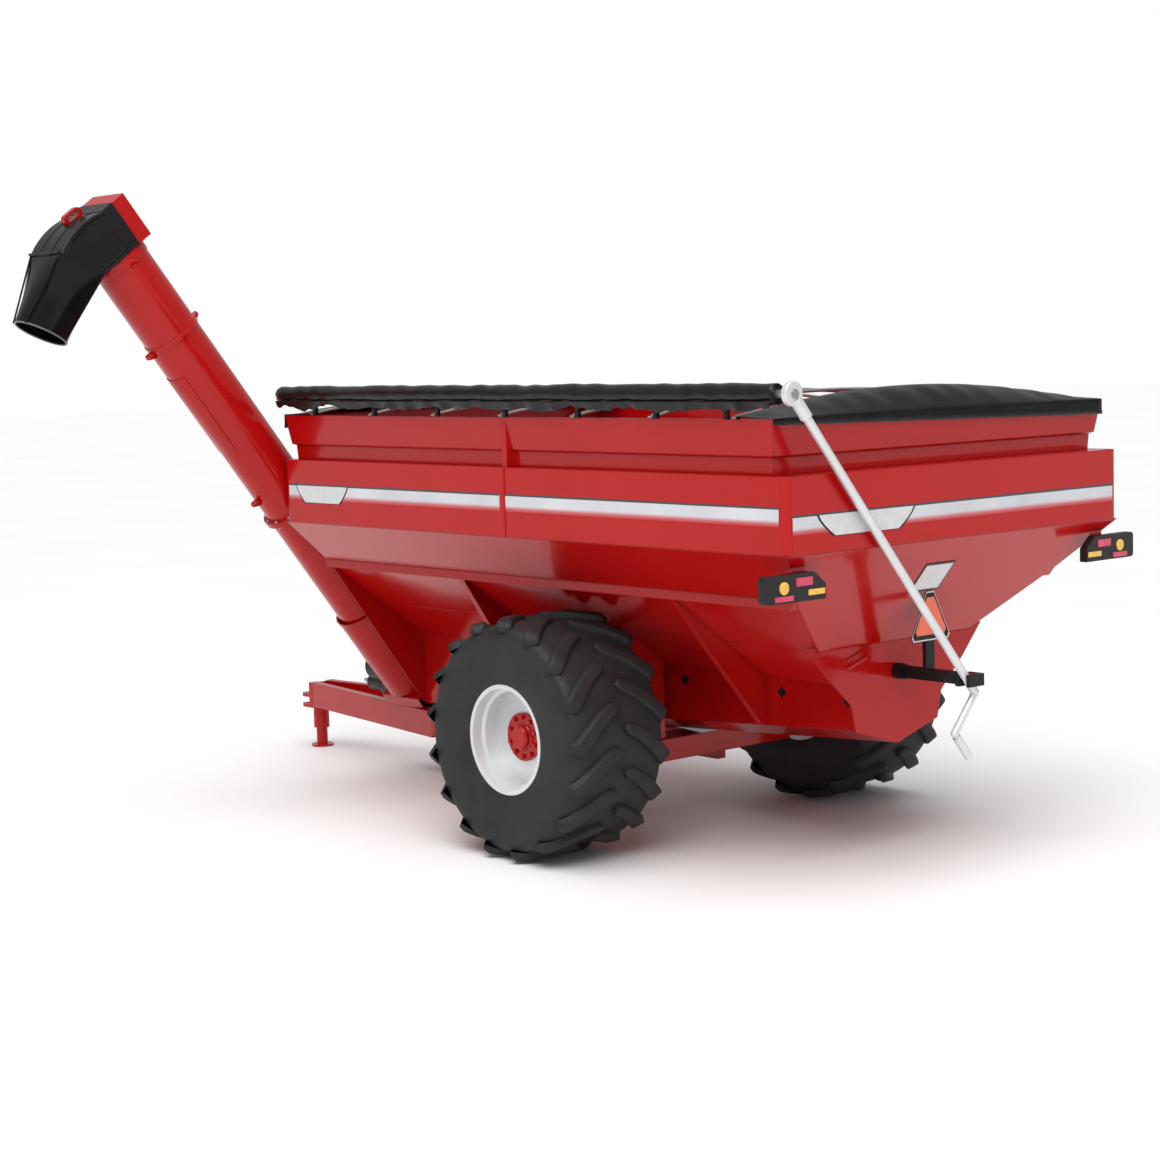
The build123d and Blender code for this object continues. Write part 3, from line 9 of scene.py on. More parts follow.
import bpy
import numpy as np
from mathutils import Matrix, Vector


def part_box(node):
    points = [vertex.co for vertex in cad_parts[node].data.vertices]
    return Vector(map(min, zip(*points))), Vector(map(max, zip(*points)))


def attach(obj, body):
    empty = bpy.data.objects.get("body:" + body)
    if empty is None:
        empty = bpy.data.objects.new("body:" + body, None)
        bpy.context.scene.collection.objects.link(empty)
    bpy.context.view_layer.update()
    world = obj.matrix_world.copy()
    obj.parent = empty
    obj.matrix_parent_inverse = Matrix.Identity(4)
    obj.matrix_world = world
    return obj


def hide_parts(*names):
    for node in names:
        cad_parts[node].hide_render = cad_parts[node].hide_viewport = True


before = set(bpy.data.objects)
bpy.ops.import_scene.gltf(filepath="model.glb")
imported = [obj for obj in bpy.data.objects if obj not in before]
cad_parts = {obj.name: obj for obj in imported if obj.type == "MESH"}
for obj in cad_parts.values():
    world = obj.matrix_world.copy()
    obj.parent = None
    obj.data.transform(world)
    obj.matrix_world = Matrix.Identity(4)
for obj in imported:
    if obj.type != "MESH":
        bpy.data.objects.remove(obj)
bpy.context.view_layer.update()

# ---------------------------------------------------------------- places read from the frame
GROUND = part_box("tyre_left")[0][2]
TYRE_BOX = {side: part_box("tyre_" + side) for side in ("left", "right")}
ROLL_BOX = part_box("tarp_roll")
CAP_BOX = {end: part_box("tarp_cap_" + end) for end in ("front", "rear")}


# ---------------------------------------------------------------- mesh helpers
def surface(grid, wrap_u=False, wrap_v=False):
    """Points and quads of a (rows, columns, 3) grid, joined round where it wraps."""
    rows, cols = grid.shape[:2]
    r = np.arange(rows if wrap_u else rows - 1)[:, None]
    c = np.arange(cols if wrap_v else cols - 1)[None, :]
    r2, c2 = (r + 1) % rows, (c + 1) % cols
    quads = np.stack([r * cols + c, r * cols + c2, r2 * cols + c2, r2 * cols + c], -1)
    return grid.reshape(-1, 3), quads.reshape(-1, 4)


def together(parts):
    """Several (points, quads) pairs as one pair."""
    points, quads, start = [], [], 0
    for p, q in parts:
        points.append(p)
        quads.append(q + start)
        start += len(p)
    return np.concatenate(points), np.concatenate(quads)


def piece(name, parts, body, material, smooth=True, uv=None):
    """A mesh object made from (points, quads), riding on a body."""
    points, quads = parts
    mesh = bpy.data.meshes.new(name)
    mesh.vertices.add(len(points))
    mesh.vertices.foreach_set("co", points.astype(np.float32).ravel())
    mesh.loops.add(quads.size)
    mesh.loops.foreach_set("vertex_index", quads.astype(np.int32).ravel())
    mesh.polygons.add(len(quads))
    mesh.polygons.foreach_set("loop_start", np.arange(0, quads.size, 4, dtype=np.int32))
    mesh.polygons.foreach_set("loop_total", np.full(len(quads), 4, np.int32))
    mesh.update(calc_edges=True)
    mesh.validate()
    mesh.polygons.foreach_set("use_smooth", np.full(len(mesh.polygons), smooth))
    if uv is not None:
        layer = mesh.uv_layers.new(name="UVMap")
        index = np.zeros(len(mesh.loops), np.int32)
        mesh.loops.foreach_get("vertex_index", index)
        layer.data.foreach_set("uv", uv.reshape(-1, 2)[index].astype(np.float32).ravel())
    mesh.materials.append(material)
    obj = bpy.data.objects.new(name, mesh)
    bpy.context.scene.collection.objects.link(obj)
    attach(obj, body)
    return obj


def add_modifier(obj, kind, **values):
    """A modifier with the given settings."""
    m = obj.modifiers.new(kind.title(), kind)
    for key, value in values.items():
        setattr(m, key, value)
    return m


def frames_along(path):
    """Two unit normals for every point of a path, kept from twisting."""
    tangent = np.gradient(path, axis=0)
    tangent /= np.linalg.norm(tangent, axis=1, keepdims=True)
    guide = np.array([0.0, 0.0, 1.0]) if abs(tangent[0, 2]) < 0.9 else np.array([1.0, 0, 0])
    side = np.cross(tangent, guide)
    side /= np.linalg.norm(side, axis=1, keepdims=True)
    return side, np.cross(side, tangent)


def tube(path, radius, sides):
    """A round bar: a circle of the given radius carried along a path, with flat ends."""
    path = np.asarray(path, float)
    side, up = frames_along(path)
    radius = np.broadcast_to(np.asarray(radius, float), len(path))[:, None, None]
    turn = np.linspace(0, 2 * math.pi, sides, endpoint=False)
    ring = (np.cos(turn)[None, :, None] * up[:, None] + np.sin(turn)[None, :, None]
            * side[:, None])
    grid = path[:, None] + radius * ring
    grid = np.concatenate([np.repeat(path[:1, None], sides, 1), grid,
                           np.repeat(path[-1:, None], sides, 1)])
    return surface(grid, wrap_v=True)


# ---------------------------------------------------------------- material helpers
class Shader:
    """A short way to lay out a node material."""

    def __init__(self, name):
        self.material = bpy.data.materials.new(name)
        self.material.use_nodes = True
        self.tree = self.material.node_tree
        self.bsdf = self.tree.nodes["Principled BSDF"]
        self.object_coords = self.tree.nodes.new("ShaderNodeTexCoord").outputs["Object"]

    def add(self, kind, inputs=(), **settings):
        """A node with settings, and its inputs set or linked by name or number."""
        node = self.tree.nodes.new("ShaderNode" + kind)
        for key, value in settings.items():
            setattr(node, key, value)
        for key, value in dict(inputs).items():
            self.put(node.inputs[key], value)
        return node

    def put(self, socket, value):
        """Link a socket, or set its value."""
        if isinstance(value, bpy.types.NodeSocket):
            self.tree.links.new(value, socket)
        elif isinstance(value, tuple) and len(value) == 3 and socket.type == "RGBA":
            socket.default_value = (*value, 1.0)
        else:
            socket.default_value = value

    def noise(self, scale, detail=3.0, stretch=None, roughness=0.5):
        """Noise on object coordinates, stretched if asked."""
        vector = self.object_coords
        if stretch:
            vector = self.add("Mapping", {"Vector": vector, "Scale": stretch}).outputs[0]
        node = self.add("TexNoise", {"Vector": vector, "Scale": scale, "Detail": detail,
                                     "Roughness": roughness})
        return node.outputs["Fac"]

    def spread(self, value, low, high, start=0.3, end=0.7):
        """A value remapped from one range to another."""
        return self.add("MapRange", {"Value": value, "From Min": start, "From Max": end,
                                     "To Min": low, "To Max": high}).outputs[0]

    def mix(self, factor, a, b):
        """Two colours mixed by a factor."""
        node = self.tree.nodes.new("ShaderNodeMix")
        node.data_type = "RGBA"
        self.put(node.inputs[0], factor)
        self.put(node.inputs[6], a)
        self.put(node.inputs[7], b)
        return node.outputs[2]

    def math(self, operation, a, b=0.0):
        """One arithmetic step."""
        return self.add("Math", {0: a, 1: b}, operation=operation).outputs[0]

    def bump(self, height, strength, distance, normal=None):
        """A bump from a height, on top of another normal if given."""
        inputs = {"Height": height, "Strength": strength, "Distance": distance}
        if normal is not None:
            inputs["Normal"] = normal
        return self.add("Bump", inputs).outputs[0]

    def soft_edge(self, radius):
        """Normals rounded over an edge."""
        return self.add("Bevel", {"Radius": radius}, samples=4).outputs[0]

    def finish(self, **sockets):
        """Set or link the shader's sockets, spaces written as underscores."""
        for key, value in sockets.items():
            self.put(self.bsdf.inputs[key.replace("_", " ")], value)
        return self.material


def paint(name, light, dark, rough=(0.13, 0.2), coat=0.25, edge=0.01, dust=0.02):
    """Glossy paint: slow change of tone, orange-peel, and a little dust towards the ground."""
    s = Shader(name)
    tone = s.spread(s.noise(0.9, 4.0), 0.0, 1.0)
    height = s.add("SeparateXYZ", {0: s.object_coords}).outputs[2]
    low = s.spread(height, 1.0, 0.0, GROUND, GROUND + 1.6)
    speck = s.spread(s.noise(14.0, 6.0), 0.0, 1.0, 0.52, 0.75)
    grime = s.math("MULTIPLY", s.math("MULTIPLY", low, speck), dust)
    colour = s.mix(grime, s.mix(tone, dark, light), (0.30, 0.22, 0.17))
    gloss = s.math("ADD", s.spread(s.noise(6.0, 5.0), rough[0], rough[1]), grime)
    normal = s.bump(s.noise(420.0, 2.0), 0.05, 0.0006, s.soft_edge(edge))
    return s.finish(Base_Color=colour, Roughness=gloss, Normal=normal, Coat_Weight=coat,
                    Coat_Roughness=0.04, Specular_IOR_Level=0.18)


def metal(name, light, dark, rough=(0.3, 0.42), metallic=0.6, edge=0.004, grain=None):
    """Metal or metallic paint with fine grain and tone."""
    s = Shader(name)
    tone = s.spread(s.noise(3.0, 5.0), 0.0, 1.0)
    fine = s.noise(160.0, 3.0, stretch=grain)
    gloss = s.spread(fine, rough[0], rough[1])
    normal = s.bump(fine, 0.06, 0.0006, s.soft_edge(edge))
    return s.finish(Base_Color=s.mix(tone, dark, light), Roughness=gloss, Normal=normal,
                    Metallic=metallic)


def moulded(name, light, dark, rough=(0.25, 0.4), edge=0.006, coat=0.0, shine=0.3):
    """Moulded plastic with a fine pebble."""
    s = Shader(name)
    tone = s.spread(s.noise(2.0, 4.0), 0.0, 1.0)
    pebble = s.noise(260.0, 2.0)
    return s.finish(Base_Color=s.mix(tone, dark, light),
                    Roughness=s.spread(s.noise(8.0, 4.0), rough[0], rough[1]),
                    Normal=s.bump(pebble, 0.08, 0.0008, s.soft_edge(edge)), Coat_Weight=coat,
                    Specular_IOR_Level=shine)


def rubber(name):
    """Tyre rubber: matt and slightly mottled."""
    s = Shader(name)
    tone = s.spread(s.noise(5.0, 5.0), 0.0, 1.0)
    fine = s.noise(110.0, 4.0)
    return s.finish(Base_Color=s.mix(tone, (0.014, 0.014, 0.015), (0.022, 0.022, 0.023)),
                    Roughness=s.spread(fine, 0.5, 0.68),
                    Normal=s.bump(fine, 0.14, 0.0015), Specular_IOR_Level=0.3)


def tarpaulin(name, creases=0.5, rough=(0.14, 0.28), shine=0.3):
    """Black coated cloth: weave, small creases and a soft sheen."""
    s = Shader(name)
    weave = s.add("TexWave", {"Vector": s.object_coords, "Scale": 110.0, "Distortion": 0.6},
                  bands_direction="X").outputs["Fac"]
    crease = s.noise(7.0, 4.0, stretch=(1.0, 2.2, 2.2), roughness=0.6)
    fine = s.bump(weave, 0.1, 0.0008)
    normal = s.bump(crease, creases, 0.012, fine)
    tone = s.spread(s.noise(4.0, 4.0), 0.0, 1.0)
    return s.finish(Base_Color=s.mix(tone, (0.004, 0.004, 0.005), (0.009, 0.009, 0.010)),
                    Roughness=s.spread(crease, *rough), Normal=normal, Specular_IOR_Level=shine)


def lens(name, light, dark):
    """Moulded lens with a fine ribbed pattern."""
    s = Shader(name)
    ribs = s.add("TexWave", {"Vector": s.object_coords, "Scale": 55.0},
                 bands_direction="Z").outputs["Fac"]
    return s.finish(Base_Color=s.mix(s.spread(s.noise(20.0), 0.0, 1.0), dark, light),
                    Roughness=s.spread(ribs, 0.12, 0.25), Coat_Weight=0.5,
                    Normal=s.bump(ribs, 0.15, 0.001))


def stripe_film(name):
    """Silver film: dark hairline along the top, dots that thin out towards the lower edge."""
    s = Shader(name)
    uv = s.add("TexCoord").outputs["UV"]
    parts = s.add("SeparateXYZ", {0: uv})
    across = parts.outputs[1]
    hairline = s.math("GREATER_THAN", across, 0.88)
    dots = s.add("TexVoronoi", {"Vector": uv, "Scale": 60.0, "Randomness": 0.0})
    size = s.spread(across, 0.0, 0.75, 0.02, 0.42)
    dot = s.math("LESS_THAN", dots.outputs["Distance"], size)
    shine = s.spread(s.noise(2.0, 3.0), 0.0, 1.0)
    silver = s.mix(shine, (0.50, 0.51, 0.54), (0.62, 0.62, 0.65))
    body = s.mix(dot, (0.50, 0.022, 0.03), silver)
    colour = s.mix(hairline, body, (0.03, 0.03, 0.04))
    return s.finish(Base_Color=colour, Roughness=s.spread(s.noise(30.0), 0.28, 0.4),
                    Coat_Weight=0.4)


# ---------------------------------------------------------------- finishes
RED = paint("red_enamel", (0.43, 0.004, 0.004), (0.40, 0.003, 0.003), edge=0.016)
RED_SMALL = paint("red_enamel_castings", (0.43, 0.004, 0.004), (0.39, 0.003, 0.003),
                  edge=0.005)
SILVER = metal("silver_enamel", (0.70, 0.71, 0.72), (0.62, 0.63, 0.64), metallic=0.35)
STEEL = metal("bright_steel", (0.50, 0.50, 0.50), (0.36, 0.35, 0.34), metallic=0.9,
              grain=(1.0, 8.0, 8.0))
BLACK = paint("black_enamel", (0.010, 0.010, 0.011), (0.006, 0.006, 0.007), (0.3, 0.42), 0.1,
              0.004, 0.03)
HOOD_BLACK = moulded("hood_polymer", (0.013, 0.013, 0.014), (0.008, 0.008, 0.009),
                     (0.22, 0.34), shine=0.2)
SPOUT_BLACK = moulded("spout_polymer", (0.007, 0.007, 0.008), (0.004, 0.004, 0.005),
                      (0.06, 0.12), shine=0.2)
LAMP_BLACK = moulded("lamp_case_polymer", (0.014, 0.014, 0.015), (0.009, 0.009, 0.010),
                     (0.3, 0.42))
RUBBER = rubber("tyre_rubber")
CLOTH = tarpaulin("rolled_tarp_cloth", 0.55)
CAP_CLOTH = tarpaulin("end_cap_cloth", 0.03, (0.26, 0.34), 0.10)
AMBER = lens("amber_lens", (0.85, 0.50, 0.06), (0.70, 0.38, 0.04))
RED_LENS = lens("red_lens", (0.62, 0.03, 0.10), (0.50, 0.02, 0.08))
ORANGE = lens("sign_orange", (0.85, 0.13, 0.05), (0.78, 0.10, 0.04))
STRIPE = stripe_film("stripe_film")
LIP_GREY = moulded("spout_lip_polymer", (0.16, 0.16, 0.165), (0.09, 0.09, 0.095), (0.3, 0.42))
WHITE_FILM = lens("reflector_film", (0.62, 0.62, 0.62), (0.54, 0.54, 0.55))

FINISH = {
    "stand_leg": RED_SMALL, "rim_left": SILVER, "rim_right": SILVER,
    "wheel_nuts_left": RED_SMALL, "wheel_nuts_right": RED_SMALL,
    "gearbox": BLACK, "pto_shaft": STEEL, "pto_guard": LAMP_BLACK, "fold_pin": STEEL,
    "hood": HOOD_BLACK, "spout": SPOUT_BLACK, "lower_screw": STEEL, "upper_screw": STEEL,
    "floor_screw": STEEL, "tarp_bows": STEEL, "roll_cradles": BLACK, "tarp_roll": CLOTH,
    "roll_tube": STEEL, "tarp_cap_front": CAP_CLOTH, "tarp_cap_rear": CAP_CLOTH,
    "latch_plate": BLACK, "crank_knuckle": SILVER, "crank_rod": SILVER, "crank_grip": SILVER,
    "crank_rest": BLACK, "slow_sign": BLACK, "slow_sign_face": ORANGE,
    "lamp_cases": LAMP_BLACK, "amber_lenses": AMBER, "red_lenses": RED_LENS,
    "tyre_left": RUBBER, "tyre_right": RUBBER,
}
SMALL_CASTINGS = ("hitch_head", "lifting_eye", "hub_left", "hub_right", "auger_brackets",
                  "spindles", "lamp_brackets", "discharge_head", "trough_fittings")

for node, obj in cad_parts.items():
    finish = FINISH.get(node, RED_SMALL if node in SMALL_CASTINGS else RED)
    obj.data.materials.clear()
    obj.data.materials.append(finish)


# ---------------------------------------------------------------- tyres
LUGS = 17
LUG_SWEEP = math.radians(19.0)
TREAD_BASE_R = 0.902        # carcass radius at the middle of the tread
TREAD_SHARE = 0.93          # share of the half width that the tread takes
LUG_TOP_R = 0.949
LUG_TURN_R = 0.93           # radius at which a bar's width and slant are measured
SIDEWALL_R = (0.845, 0.80, 0.74, 0.67, 0.60, 0.54, 0.49, 0.455, 0.437, 0.428, 0.412)
SIDEWALL_OUT = (0.972, 0.986, 0.992, 0.992, 0.985, 0.972, 0.955, 0.937, 0.922, 0.90, 0.885)
LUG_SECTION = ((-1.15, 0.0), (-0.98, 0.80), (-0.86, 0.95), (-0.6, 1.0), (0.6, 1.0),
               (0.86, 0.95), (0.98, 0.80), (1.15, 0.0))     # shares of half width and height


def carcass_radius(across):
    """Tread radius at a share of the half width: a shallow crown that falls at the edges."""
    return TREAD_BASE_R - 0.018 * across ** 2 - 0.030 * np.clip(across - 0.8, 0, 1) / 0.2


def tyre_carcass(centre, half):
    """Carcass as a surface of turning: radius and offset of each profile point are joined
    into a smooth line, then carried round the axle."""
    share = np.linspace(0, 1, 9)
    tread_r, tread_y = carcass_radius(share * TREAD_SHARE), share * TREAD_SHARE
    r = np.concatenate([tread_r, SIDEWALL_R])
    y = np.concatenate([tread_y, SIDEWALL_OUT])
    r, y = np.concatenate([r[::-1], r[1:]]), np.concatenate([y[::-1], -y[1:]])
    turn = np.linspace(0, 2 * math.pi, 160, endpoint=False)[:, None]
    grid = np.stack([centre[0] + r * np.cos(turn), centre[1] + half * y + 0 * turn,
                     centre[2] + r * np.sin(turn)], -1)
    return surface(grid, wrap_u=True)


def tyre_lug(centre, half, start, side):
    """One tread bar: a rounded-top section carried from the shoulder to just past the middle
    while it turns by the sweep, quickly at first and then less."""
    t = np.linspace(0, 1, 15)
    across = 0.985 - 0.945 * t
    turn = start + LUG_SWEEP * (1.0 - (1.0 - t) ** 1.5)
    foot = carcass_radius(across) - 0.006
    top = LUG_TOP_R - 0.014 * across ** 2 - 0.035 * np.exp(-t / 0.035)
    wide = 0.060 - 0.017 * t
    wide = wide * np.sqrt(1.06 - (np.clip(t - 0.9, 0, 1) / 0.1) ** 2)
    section = np.array(LUG_SECTION)
    along = np.stack([-np.gradient(across) * half, np.gradient(turn) * LUG_TURN_R], -1)
    along /= np.linalg.norm(along, axis=1, keepdims=True)
    offset = section[None, :, 0] * wide[:, None]
    r = foot[:, None] + (top - foot)[:, None] * section[None, :, 1]
    y = side * (half * across[:, None] + offset * along[:, 1:2])
    angle = turn[:, None] + offset * along[:, 0:1] / LUG_TURN_R
    grid = np.stack([centre[0] + r * np.cos(angle), centre[1] + y,
                     centre[2] + r * np.sin(angle)], -1)
    low = grid[:, [0, -1]].mean(1, keepdims=True)
    ends = np.concatenate([low[:1].repeat(grid.shape[1], 1), grid,
                           low[-1:].repeat(grid.shape[1], 1)])
    points, quads = surface(ends)
    return points, quads if side > 0 else quads[:, ::-1]


for side in ("left", "right"):
    low, high = TYRE_BOX[side]
    middle = ((low[0] + high[0]) / 2, (low[1] + high[1]) / 2, (low[2] + high[2]) / 2)
    half = (high[1] - low[1]) / 2 - 0.002
    bars = [tyre_lug(middle, half, 2 * math.pi * (i + 0.5 * (s > 0)) / LUGS, s)
            for s in (-1, 1) for i in range(LUGS)]
    tyre = piece("tyre_tread_" + side, together([tyre_carcass(middle, half)] + bars),
                 "wheel_" + side, RUBBER)
    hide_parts("tyre_" + side)


# ---------------------------------------------------------------- layout
AXLE_X = (TYRE_BOX["left"][0][0] + TYRE_BOX["left"][1][0]) / 2


def spot(x, y, z):
    """A point from distances behind the axle, to the right, and above the ground."""
    x, y, z = np.broadcast_arrays(np.asarray(x, float) + AXLE_X, y, np.asarray(z, float) + GROUND)
    return np.stack([x, y, z], -1)


def unit(v):
    """A vector of length one."""
    v = np.asarray(v, float)
    return v / np.linalg.norm(v)


def waves(seed, count, low, high):
    """Random lengths and phases of a few waves, always the same for a seed."""
    rng = np.random.default_rng(seed)
    return zip(rng.uniform(low, high, count), rng.uniform(0, 2 * math.pi, count),
               rng.uniform(-2.0, 2.0, count))


def ripple(x, turn, seed, count=7, low=1.5, high=14.0):
    """Sum of slanting waves of random length, about -1 to 1."""
    total = 0.0
    for rate, phase, slant in waves(seed, count, low, high):
        total = total + np.sin(rate * x + np.round(slant) * turn + phase) / math.sqrt(count)
    return total


# ---------------------------------------------------------------- tarp
ROLL_Y = (ROLL_BOX[0][1] + ROLL_BOX[1][1]) / 2
ROLL_Z = (ROLL_BOX[0][2] + ROLL_BOX[1][2]) / 2
ROLL_R = (ROLL_BOX[1][1] - ROLL_BOX[0][1]) / 2
ROLL_INNER_R = 0.034
ROLL_TURNS = 10
ROLL_ENDS = (ROLL_BOX[0][0] + 0.004, ROLL_BOX[1][0] - 0.004)
TAIL_ANGLE = math.radians(38)           # where the tail leaves the roll, below level
TAIL_DROP = 0.060


def rolled_tarp():
    """The tarp wound on its tube: the radius grows evenly with the turn, and slanting ripples
    that depend on the place round the roll swell every turn alike, most on the outside."""
    x = np.linspace(*ROLL_ENDS, 170)[:, None]
    turn = np.linspace(0, 2 * math.pi * ROLL_TURNS, ROLL_TURNS * 22 + 1)[None, :]
    share = turn / turn[0, -1]
    lump = 0.55 * ripple(x, turn, 5, 6, 2.0, 9.0) + 0.45 * ripple(x, turn, 8, 6, 12.0, 30.0)
    flat = 0.05 * np.cos(turn + 0.6)
    r = ROLL_INNER_R + (ROLL_R - 0.008 - ROLL_INNER_R) * share
    r = r * (1.0 + share * (0.075 * lump + flat))
    grid = np.stack([x + 0.006 * ripple(turn, 0 * turn, 3) * share, ROLL_Y + r * np.cos(turn),
                     ROLL_Z + r * np.sin(turn)], -1)
    roll = piece("rolled_tarp", surface(grid), "tarp_roller", CLOTH)
    add_modifier(roll, "SOLIDIFY", thickness=0.0014, offset=0.0)
    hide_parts("tarp_roll")


def tarp_tail():
    """Loose edge under the roll: it leaves the roll at a slant, hangs in small waves, and its
    lower edge is ragged because the drop changes along it."""
    x = np.linspace(*ROLL_ENDS, 260)[:, None]
    v = np.linspace(0, 1, 9)[None, :]
    slow, fast = ripple(x, 0.0, 21, 6, 3.0, 12.0), ripple(x, 0.0, 4, 5, 20, 50)
    drop = TAIL_DROP + 0.014 * slow + 0.007 * fast
    wave = 0.012 + 0.008 * ripple(x, 0, 9, 6, 6.0, 30.0)
    y = ROLL_Y - ROLL_R * math.cos(TAIL_ANGLE) - 0.012 + v * wave
    z = ROLL_Z - ROLL_R * math.sin(TAIL_ANGLE) + 0.004 - v * drop
    grid = np.stack(np.broadcast_arrays(x, y, z), -1)
    tail = piece("tarp_tail", surface(grid), "chassis", CLOTH)
    add_modifier(tail, "SOLIDIFY", thickness=0.0016, offset=0.0)


RIM_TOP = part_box("extension_sides")[1][2]
BOW_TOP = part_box("tarp_bows")[1][2]


def end_cap(end):
    """Cloth cap over one end: it rises from the lower edge of its skirt past the rim, then
    leans in to the first bow along an arch, with a slight hollow between its edges."""
    low, high = CAP_BOX[end]
    sign = 1 if end == "rear" else -1
    face = high[0] if end == "rear" else low[0]
    half = high[1] - 0.002
    y = np.linspace(-half, half, 97)[:, None]
    skirt = 0.040 + 0.075 * (y / half * sign + 1) / 2
    arch = RIM_TOP + 0.012 + (BOW_TOP + 0.010 - RIM_TOP) * (1 - (y / half) ** 2)
    hang = np.linspace(0, 1, 7)[None, :]
    lean = np.linspace(0, 1, 22)[None, 1:]
    skirt_x = face - sign * 0.002 + 0 * y + 0 * hang
    skirt_z = RIM_TOP - skirt * (1 - hang) + 0.004
    reach = (high[0] - low[0]) - 0.004
    lean_x = face - sign * (0.002 + reach * lean) + 0 * y
    lean_z = RIM_TOP + 0.004 + (arch - RIM_TOP - 0.004) * np.sin(lean * math.pi / 2) ** 0.9
    lean_z = lean_z + 0.004 * ripple(y * 2.0, 0 * lean, 31, 5) * np.sin(lean * math.pi)
    x = np.concatenate([skirt_x, lean_x], 1)
    z = np.concatenate([skirt_z, lean_z], 1)
    grid = np.stack([x, y + 0 * x, z], -1)
    points, quads = surface(grid)
    cap = piece("end_cap_" + end, (points, quads if sign > 0 else quads[:, ::-1]), "chassis",
                CAP_CLOTH)
    add_modifier(cap, "SOLIDIFY", thickness=0.003, offset=-1.0)
    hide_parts("tarp_cap_" + end)
    hem = np.stack([face + sign * 0.001 + 0 * y[:, 0], y[:, 0], skirt_z[:, 0] + 0.012], -1)
    rows = [hem + (0, 0, 0.014), hem + (sign * 0.004, 0, 0.010), hem + (sign * 0.005, 0, 0.0),
            hem + (sign * 0.004, 0, -0.012), hem + (0, 0, -0.014)]
    piece("cap_hem_" + end, surface(np.stack(rows, 1)), "chassis", CLOTH)


rolled_tarp()
tarp_tail()
for end in ("front", "rear"):
    end_cap(end)


# ---------------------------------------------------------------- stripes
def stripe(name, place, length, height, flip=False):
    """A flat film: place(u, v) gives its points, and its own map runs in metres along it and
    from 0 to 1 across it."""
    u = np.linspace(0, 1, 40)[:, None]
    v = np.linspace(0, 1, 5)[None, :]
    grid = place(u + 0 * v, v + 0 * u)
    uv = np.stack([(u + 0 * v) * length / height, v + 0 * u], -1)
    points, quads = surface(grid)
    return piece(name, (points, quads[:, ::-1] if flip else quads), "chassis", STRIPE, uv=uv)


STRIPE_LOW, STRIPE_HIGH = 2.700, 2.835
FILM = 0.0015
HALF_WIDTH = 1.850
RIB_X, RIB_HALF = -0.160, 0.034
FRONT_X, REAR_X = -3.105, 2.805
REAR_FACE_X = 2.870
REAR_STRIPE = {"start": -1.785, "length": 3.57, "low": 2.640, "height": 0.135}


def side_stripes():
    """Stripes of both sides, stopped by the rib."""
    for side, sign in (("left", -1), ("right", 1)):
        for part, x0, x1 in (("front", FRONT_X, RIB_X - RIB_HALF),
                             ("rear", RIB_X + RIB_HALF, REAR_X)):
            stripe(f"stripe_{side}_{part}",
                   lambda u, v: spot(x0 + (x1 - x0) * u, sign * (HALF_WIDTH + FILM),
                                     STRIPE_LOW + (STRIPE_HIGH - STRIPE_LOW) * v),
                   x1 - x0, STRIPE_HIGH - STRIPE_LOW, flip=sign < 0)


def end_stripe():
    """Stripe across the rear of the middle band."""
    r = REAR_STRIPE
    stripe("stripe_rear", lambda u, v: spot(REAR_FACE_X + FILM, r["start"] + r["length"] * u,
                                            r["low"] + r["height"] * v), r["length"], r["height"])


def badge(name, place, flip):
    """A plain swept shield over the stripe: two slanted ends and a dip along its foot."""
    for layer, grow, lift, material in (("edge", 0.0, 0.0015, BLACK),
                                        ("field", 0.020, 0.0030, WHITE_FILM)):
        u = np.linspace(0, 1, 24)[:, None]
        v = np.linspace(0, 1, 5)[None, :]
        slant = 0.16 * (1 - v) ** 1.4
        along = (slant + grow) + (1 - 2 * slant - 2 * grow) * u
        up = grow + (1 - 2 * grow) * v
        grid = place(along, up, lift)
        points, quads = surface(grid)
        piece(f"{name}_{layer}", (points, quads[:, ::-1] if flip else quads), "chassis",
              material)


side_stripes()
end_stripe()
for side, sign in (("left", -1), ("right", 1)):
    badge("badge_" + side, lambda a, b, lift: spot(-3.00 + 0.78 * a,
                                                   sign * (HALF_WIDTH + FILM + lift),
                                                   2.675 + 0.150 * b), sign < 0)
badge("badge_rear", lambda a, b, lift: spot(REAR_FACE_X + FILM + lift, -1.55 + 1.02 * a,
                                            2.610 + 0.155 * b), False)


# ---------------------------------------------------------------- rear wall details
WALL_FOOT_X, WALL_FOOT_Z, WALL_TOP_Z = 2.200, 1.690, 2.500
WALL_THICK = 0.0078         # the sheet measured along the cart
WALL_RUN = (REAR_FACE_X - WALL_THICK - WALL_FOOT_X) / (WALL_TOP_Z - WALL_FOOT_Z)


def on_rear_wall(y, z, lift=0.0):
    """A point on the sloping rear wall's outer face, lifted off along its normal."""
    normal = unit((1.0, 0.0, -WALL_RUN))
    return spot(WALL_FOOT_X + WALL_THICK + (z - WALL_FOOT_Z) * WALL_RUN, y, z) + normal * lift


